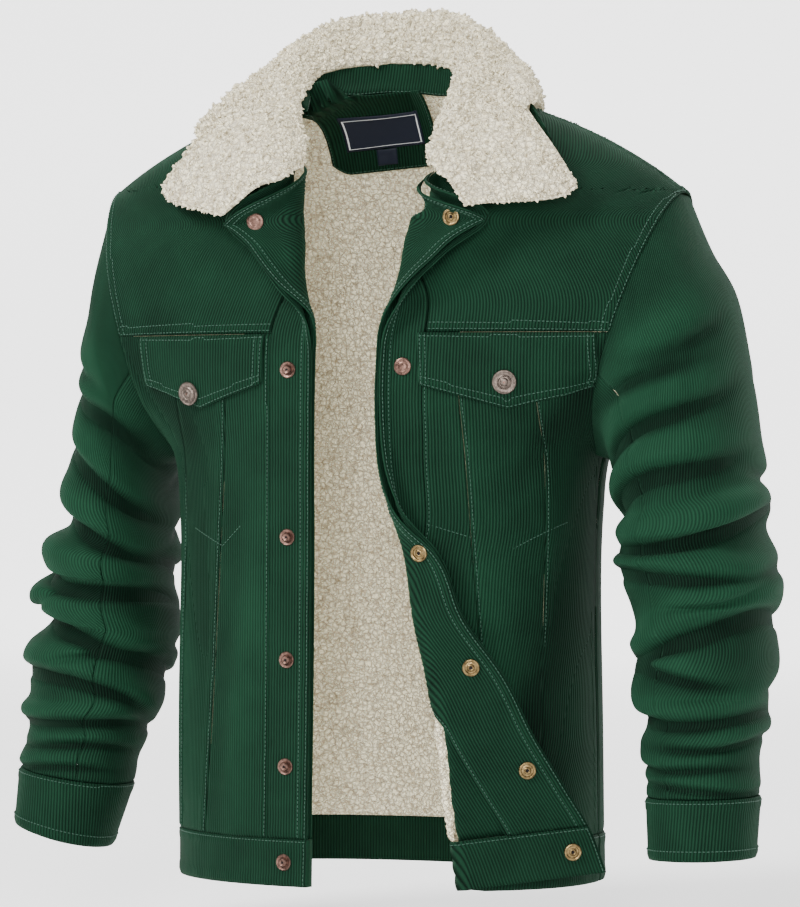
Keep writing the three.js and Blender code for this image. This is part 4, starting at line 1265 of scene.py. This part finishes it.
def make_sleeve(side):
    seam = math.radians(112)
    gap = SEAM_LINE / 70
    last = len(SLEEVES[side])
    seam_ring = last - 1
    flip = side == "L"
    creases = SLEEVE_FOLDS[side]

    def stretch(part, start, end, from_angle, to_angle, columns, rows, **more):
        angles = np.linspace(from_angle, to_angle, columns)
        rings = sleeve_rings(side, angles)
        points = np.stack([along_rings(rings, a) for a in np.linspace(start, end, rows)])
        u, v = tube_place(points, int(np.argmin(np.abs(angles))))
        degrees = np.degrees(angles)[None, :] * np.ones((rows, 1))
        field = crease_field(creases, degrees, points[..., 2], "angle")
        fade = np.clip(np.linspace(start, end, rows) / 1.2, 0, 1)[:, None]
        cloth_piece(f"{part}_{side}", points, u, v, not flip, creases=field * fade * more.pop("share", 1),
                    **more)

    stretch("sleeve_upper", 0, seam_ring - 0.01, -seam + gap, seam - gap, 170, 360, offset=-1, thick=2,
            seams={}, stitches={}, rests_on=["front_yoke_" + side], seed=9.1)
    stretch("sleeve_under", 0, seam_ring - 0.01, seam + gap, 2 * math.pi - seam - gap, 90, 360, offset=-1,
            thick=2, seams={}, stitches={}, rests_on=["sleeve_upper_" + side], seed=1.9)
    stretch("cuff", seam_ring + 0.01, last, 0, 2 * math.pi, 190, 26, offset=-1.8, thick=3.6,
            seams={"low": "single", "high": "single"}, stitches={"low": (2.4,), "high": (8.5,)}, wrap=True,
            rests_on=["sleeve_upper_" + side], seed=2.9, share=0.3)


# Collar
def curve_place(points, t):
    """A point on a centripetal curve through the given points, at t from 0 to 1."""
    count = len(points)
    p = (count - 1) * min(max(t, 0), 1)
    i = int(p)
    weight = p - i
    if i == count - 1:
        i, weight = count - 2, 1.0
    p0 = points[i - 1] if i > 0 else 2 * points[0] - points[1]
    p1, p2 = points[i], points[i + 1]
    p3 = points[i + 2] if i + 2 < count else 2 * points[-1] - points[-2]
    d0, d1, d2 = (max(np.linalg.norm(b - a), 1e-8) ** 0.5 for a, b in ((p0, p1), (p1, p2), (p2, p3)))
    s1 = ((p1 - p0) / d0 - (p2 - p0) / (d0 + d1) + (p2 - p1) / d1) * d1
    s2 = ((p2 - p1) / d1 - (p3 - p1) / (d1 + d2) + (p3 - p2) / d2) * d1
    return (p1 + s1 * weight + (-3 * p1 + 3 * p2 - 2 * s1 - s2) * weight ** 2
            + (2 * p1 - 2 * p2 + s1 + s2) * weight ** 3)


def unit(vector):
    return vector / np.linalg.norm(vector)


def collar_section(side, row):
    if row["face"] == "back":
        z = back_neck_height(row["neck"])
        neck = np.array([row["neck"], float(body_y("back", row["neck"], z)), z])
    else:
        neck = front_point(side, 0, row["neck"])
    neck = neck + unit(np.array([*NECK_MIDDLE, neck[2]]) - neck) * NECK_INSET[row["face"]]
    fold = np.array([row["fold_x"], row["fold_y"], row["fold_z"]], float)
    outward = unit(fold * (1, 1, 0) - (-10, -10, 0))

    def place_y(dx, dz):
        return float(body_y(row["face"], row["edge_x"] + dx, row["edge_z"] + dz))

    away = unit(np.array([-(place_y(1, 0) - place_y(-1, 0)) / 2, 1, -(place_y(0, 1) - place_y(0, -1)) / 2]))
    if row["face"] == "front":
        away = -away
    edge = np.array([row["edge_x"], place_y(0, 0), row["edge_z"]]) + away * row["lift"]
    rise = fold - neck
    turn = min(9, np.linalg.norm(rise) * 0.3)
    inside = neck + rise * 0.62 - outward * turn * 0.3
    outside = fold + outward * turn * 1.5 - np.array([0, 0, turn * 0.9])
    fall = (outside + edge) / 2 + outward * 3 + np.array([0, 0, 6])
    return np.array([neck, inside, fold, outside, fall, edge])


def collar_grid(from_w, to_w, columns, rows):
    sections = {side: np.array([collar_section(side, row) for row in COLLAR[side]]) for side in "RL"}
    points = np.zeros((rows, columns, 3))
    for i, t in enumerate(np.linspace(-1, 1, columns)):
        lines = sections["R" if t < 0 else "L"]
        across = np.array([curve_place(lines[:, k], abs(t)) for k in range(6)])
        for j, w in enumerate(np.linspace(from_w, to_w, rows)):
            points[j, i] = curve_place(across, w)
    return points


def make_collar():
    cloth = collar_grid(STAND_SHARE - 0.03, 1, COLLAR_COLUMNS, 100)
    points = overhung(cloth)
    normals = normals_of(points, False)
    u, v = tube_place(points, COLLAR_COLUMNS // 2)
    make_fleece(points, normals, u, v)
    inner = (slice(4, -7, 2), slice(4, -4, 2))
    cloth_piece("collar_under", cloth[inner], v[inner], u[inner], True, {"high": "single"}, {},
                offset=COLLAR_GAP, rests_on=["collar_stand"], seed=3.3)
    stand = collar_grid(0.02, STAND_SHARE, STAND_COLUMNS, 12)
    inward = np.array([*NECK_MIDDLE, 0]) - stand[0]
    inward[:, 2] = 0
    inward /= np.linalg.norm(inward, axis=1, keepdims=True)
    turn = np.linspace(-1, 1, STAND_COLUMNS)
    back = np.clip((np.where(turn < 0, 0.3, 0.44) - np.abs(turn)) / 0.16, 0, 1)[:, None]
    down = np.array([0, 0, 1])
    turned_down = [stand[0] + inward * k * 3.2 * back - down * k * (1 + 2.4 * back) for k in (3, 2, 1)]
    stand = np.concatenate([np.stack(turned_down), stand])[:, STAND_CUT:-STAND_CUT]
    for _ in range(60):
        stand[:, 1:-1] = (stand[:, :-2] + 2 * stand[:, 1:-1] + stand[:, 2:]) / 4
    u, v = tube_place(stand, 90)
    cloth_piece("collar_stand", stand, u, v, False, {"high": "single"}, {"low": (1.5,)}, offset=-CLOTH,
                thick=2 * CLOTH, rests_on=["back_yoke"], seed=5.5)


def overhung(points):
    """The pile hangs out past the cut edge of the fleece, most at the two front ends."""
    columns, rows = points.shape[1], points.shape[0]
    ends = np.linspace(-1, 1, columns)
    falling = np.clip((np.linspace(0, 1, rows) - 0.04) / 0.14, 0, 1)[:, None, None]
    bulge = np.sin(math.pi * np.linspace(0, 1, rows))[:, None, None]
    for at_end, near, inner, least, most in ((ends < 0, 0, 8, 13, 28), (ends > 0, -1, -9, 5, 14)):
        outward = points[:, near] - points[:, inner]
        outward /= np.linalg.norm(outward, axis=1, keepdims=True)
        share = np.clip((np.abs(ends) - 0.72) / 0.28, 0, 1) ** 2 * at_end
        points = points + outward[:, None] * share[None, :, None] * (least + most * bulge) * falling
    hang = points[-1] - points[-6]
    hang /= np.linalg.norm(hang, axis=1, keepdims=True)
    low = np.clip((np.linspace(0, 1, rows) - 0.8) / 0.2, 0, 1)[:, None, None] ** 2
    return points + hang[None] * low * 3


def make_fleece(points, normals, u, v):
    start = np.full_like(u, COLLAR_GAP + 0.5)
    shown = pile_piece("collar_upper", points, u, v, normals, start, COLLAR_PILE, 8.5, 5.4,
                       COLLAR_FLEECE, "sherpa_collar", 21, skip=4, rests_on=["collar_stand"], rim=9)
    away = borders(points)
    lottery = np.random.RandomState(8)
    rows, columns = u.shape
    facing = normals_of(shown, False)
    spots = [(lottery.randint(0, rows), lottery.randint(0, columns)) for _ in range(CURLS)]
    for i in range(columns):
        spots += [(rows - 1, i), (rows - 2, i)]
    for j in range(rows):
        spots += [(j, 0), (j, columns - 1)]
    curl_tufts("collar_tufts", spots, shown, facing, points, away, lottery)


def curl_tufts(name, spots, shown, facing, points, away, lottery):
    """Small bent tapering curls of pile, joined in one mesh."""
    vertices, faces, shades = [], [], []
    for j, i in spots:
        at = shown[j, i]
        up = facing[j, i]
        out = np.zeros(3)
        if away["high"][j, i] < 5:
            out += points[j, i] - points[j - 4, i]
        if away["near"][j, i] < 5:
            out += points[j, i] - points[j, min(i + 4, points.shape[1] - 1)]
        if away["far"][j, i] < 5:
            out += points[j, i] - points[j, max(i - 4, 0)]
        lean = lottery.normal(size=3) * 0.55
        direction = unit(up * 0.8 + lean + (unit(out) if np.linalg.norm(out) > 0.1 else 0))
        curl = unit(np.cross(direction, lottery.normal(size=3)))
        length = 2.0 + 2.2 * lottery.rand()
        thick = 1.0 + 0.8 * lottery.rand()
        side_a = unit(np.cross(direction, curl + 0.01))
        base = len(vertices)
        for step, wide in ((-0.35, 1.0), (0.3, 1.15), (0.7, 0.8)):
            centre = at + direction * length * step + curl * length * 0.35 * max(step, 0) ** 2
            for k in range(5):
                angle = 2 * math.pi * k / 5
                vertices.append(centre + (side_a * math.cos(angle) + curl * math.sin(angle)) * thick * wide)
                # Painted shade: each curl darker at its base and lighter towards its tip, in the 'depth'
                # attribute
                shades.append(0.45 + 0.45 * max(step, 0))
        vertices.append(at + direction * length + curl * length * 0.4)
        shades.append(1.0)
        for ring in range(2):
            for k in range(5):
                a, b = base + ring * 5 + k, base + ring * 5 + (k + 1) % 5
                faces.append((a, b, b + 5, a + 5))
        for k in range(5):
            faces.append((base + 10 + k, base + 10 + (k + 1) % 5, base + 15))
        faces.append(tuple(base + k for k in (4, 3, 2, 1, 0)))
    mesh = bpy.data.meshes.new(name)
    mesh.from_pydata((np.array(vertices) / 1000).tolist(), [], faces)
    attribute = mesh.attributes.new("depth", "FLOAT", "POINT")
    attribute.data.foreach_set("value", np.array(shades, dtype=np.float32))
    mesh.polygons.foreach_set("use_smooth", [True] * len(mesh.polygons))
    obj = bpy.data.objects.new(name, mesh)
    bpy.context.scene.collection.objects.link(obj)
    close_round(obj, False)
    dress(obj, COLLAR_FLEECE, "sherpa_collar")


def turned_piece(name, radius, steps, materials, sides=28):
    """Turned metal from a disc: each step lifts and resizes the face on top."""
    bpy.ops.object.select_all(action="DESELECT")
    bpy.ops.mesh.primitive_circle_add(vertices=sides, radius=radius / 1000, fill_type="NGON")
    obj = bpy.context.object
    obj.name = name
    for material in materials:
        obj.data.materials.append(material)
    bpy.ops.object.mode_set(mode="EDIT")
    bpy.ops.mesh.select_mode(type="FACE")
    bpy.ops.mesh.select_all(action="SELECT")
    bpy.ops.mesh.duplicate()
    now = radius
    for lift, wide, finish in steps:
        obj.active_material_index = finish
        bpy.ops.mesh.extrude_region_move(TRANSFORM_OT_translate={"value": (0, 0, lift / 1000)})
        bpy.ops.transform.resize(value=(wide / now, wide / now, 1))
        bpy.ops.object.material_slot_assign()
        now = wide
    bpy.ops.mesh.select_all(action="SELECT")
    bpy.ops.mesh.remove_doubles(threshold=0.00001)
    bpy.ops.mesh.normals_make_consistent(inside=False)
    bpy.ops.object.mode_set(mode="OBJECT")
    bpy.ops.object.shade_smooth_by_angle(angle=math.radians(40))
    obj.select_set(False)
    return obj


def set_on_front(pattern, name, side, from_edge, z, offset, inside):
    """Copies a turned piece to its place on a front, square to the cloth."""
    h = 2.0
    at = front_point(side, from_edge, z)
    along_a = front_point(side, from_edge + h, z) - front_point(side, from_edge - h, z)
    along_z = front_point(side, from_edge, z + h) - front_point(side, from_edge, z - h)
    normal = unit(np.cross(along_a, along_z))
    if side == "R":
        normal = -normal
    if inside:
        normal = -normal
    at = at + normal * offset
    turn = Vector(normal).to_track_quat("Z", "Y").to_matrix().to_4x4()
    obj = pattern.copy()
    obj.data = pattern.data.copy()
    obj.name = name
    bpy.context.scene.collection.objects.link(obj)
    obj.data.transform(Matrix.Translation(Vector(at) / 1000) @ turn)
    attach(obj, "root")
    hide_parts(name)


def make_metal():
    stud = turned_piece("stud_pattern", 6.6, ((0.7, 6.9, 0), (0.7, 6.3, 0), (-0.5, 5.0, 1), (-0.1, 4.2, 1),
                                             (0.6, 3.9, 2), (1.4, 3.5, 2), (0.5, 2.9, 2), (-0.3, 2.0, 1),
                                             (-0.4, 1.1, 1)), (COPPER, BLACK_METAL, BRASS))
    socket = turned_piece("socket_pattern", 6.8, ((0.8, 7.2, 0), (0.9, 6.8, 0), (0.3, 6.0, 0), (-0.4, 5.1, 0),
                                                 (-1.0, 4.7, 1), (0.2, 3.2, 1), (0.7, 2.6, 0), (0.2, 2.0, 0),
                                                 (-0.5, 1.4, 1)), (BRASS, BLACK_METAL))
    cap = turned_piece("cap_pattern", 7.0, ((0.5, 7.3, 0), (0.7, 7.0, 0), (0.5, 6.0, 0), (0.15, 4.4, 0),
                                           (-0.25, 3.8, 1), (0.3, 3.2, 0), (0.15, 1.6, 0)), (COPPER, PEWTER))
    button = turned_piece("button_pattern", 9.3, ((0.8, 10.0, 0), (0.9, 9.6, 0), (0.3, 8.8, 0), (-0.5, 8.0, 1),
                                                 (-0.1, 6.2, 1), (0.6, 5.7, 2), (0.3, 5.1, 2), (-0.6, 4.5, 1),
                                                 (0.1, 3.6, 1), (0.8, 3.1, 2), (0.5, 2.2, 2), (0.15, 1.0, 2)),
                          (PEWTER, BLACK_METAL, COPPER), 40)
    rest = 0.2 + CLOTH
    inside = FACING_GAP + CLOTH
    for i, row in enumerate(SNAPS, 1):
        band = 0.5 if row["right_z"] < BAND_TOP_Z else 0
        set_on_front(stud, f"snap_stud_{i}", "R", row["right_in"], row["right_z"], rest + band + 0.1, False)
        set_on_front(cap, f"snap_back_{i}", "R", row["right_in"], row["right_z"],
                     inside + band + (3.0 if i == 1 else 0.1), True)
        set_on_front(socket, f"snap_socket_{i}", "L", row["left_in"], row["left_z"],
                     inside + band + (3.0 if i == 1 else 0.1), True)
        set_on_front(cap, f"snap_cap_{i}", "L", row["left_in"], row["left_z"], rest + band + 0.1, False)
    for side in "RL":
        flap = POCKET_FLAPS[side]
        from_edge = FrontPlan.at(side, flap["button_z"]).from_edge_at(flap["button_x"])
        set_on_front(button, f"pocket_button_{side}", side, from_edge, flap["button_z"],
                     rest + CLOTH + 2.0, False)
    for pattern in (stud, socket, cap, button):
        bpy.data.objects.remove(pattern)


def make_topstitching():
    obj = topstitching.build("topstitching")
    dress(obj, THREAD, "corduroy")


# Studio
def make_studio():
    bpy.ops.object.select_all(action="DESELECT")
    bpy.ops.mesh.primitive_plane_add(size=1)
    floor = bpy.context.object
    floor.name = "studio_floor"
    profile = [(-6.5, -0.70), (4.6, -0.70), (5.6, -0.55), (6.3, -0.15), (6.7, 0.6), (6.8, 6.0)]
    vertices = [(x, y, z) for x in (-9.0, 9.0) for y, z in profile]
    faces = [(i, i + 1, i + 7, i + 6) for i in range(5)]
    mesh = bpy.data.meshes.new("studio_floor")
    mesh.from_pydata(vertices, [], faces)
    mesh.polygons.foreach_set("use_smooth", [True] * len(mesh.polygons))
    floor.data = mesh
    finish = Finish("pale paper")
    parts = finish.tree.nodes.new("ShaderNodeSeparateXYZ")
    finish.feed(parts.inputs[0], finish.own_place())
    behind = finish.node("ShaderNodeClamp", {}, {0: Socket(finish, parts.outputs[1]) * 0.22 - 0.1})
    finish.set(Base_Color=(0.95, 0.95, 0.95, 1), Roughness=0.9, Emission_Strength=1.9,
               Emission_Color=finish.blend(behind, (0.14, 0.14, 0.14), (1.0, 1.0, 1.0)))
    mesh.materials.append(finish.material)

    def lamp(name, place, size, power, aim=(0, 0, -0.28)):
        light = bpy.data.lights.new(name, "AREA")
        light.shape = "RECTANGLE"
        light.size, light.size_y = size
        light.energy = power
        obj = bpy.data.objects.new(name, light)
        obj.location = place
        obj.rotation_euler = (Vector(aim) - Vector(place)).to_track_quat("-Z", "Y").to_euler()
        bpy.context.scene.collection.objects.link(obj)

    lamp("key", (-1.5, -2.3, 1.9), (0.9, 1.1), 170)
    lamp("fill", (2.4, -2.2, 0.5), (1.6, 2.0), 20)
    lamp("front", (0.8, -3.2, 0.3), (0.7, 0.9), 84)
    lamp("crown", (0.4, 0.7, 2.3), (1.8, 1.4), 70)
    world = bpy.data.worlds.new("studio")
    world.use_nodes = True
    world.node_tree.nodes["Background"].inputs[0].default_value = (1, 1, 1, 1)
    world.node_tree.nodes["Background"].inputs[1].default_value = 0.72
    bpy.context.scene.world = world


def make_camera():
    tilt = math.radians(CAMERA_ROUND)
    camera = bpy.data.cameras.new("camera")
    camera.lens = CAMERA_LENS
    camera.sensor_width = 36
    obj = bpy.data.objects.new("camera", camera)
    obj.location = (CAMERA_AWAY * math.sin(tilt) + CAMERA_ASIDE * math.cos(tilt),
                    -CAMERA_AWAY * math.cos(tilt) + CAMERA_ASIDE * math.sin(tilt), CAMERA_Z)
    obj.rotation_euler = (math.pi / 2, 0, tilt)
    bpy.context.scene.collection.objects.link(obj)
    bpy.context.scene.camera = obj


make_camera()
make_front("R")
make_front("L")
make_back()
make_neck_patches()
make_sleeve("R")
make_sleeve("L")
make_collar()
make_metal()
make_topstitching()
make_studio()
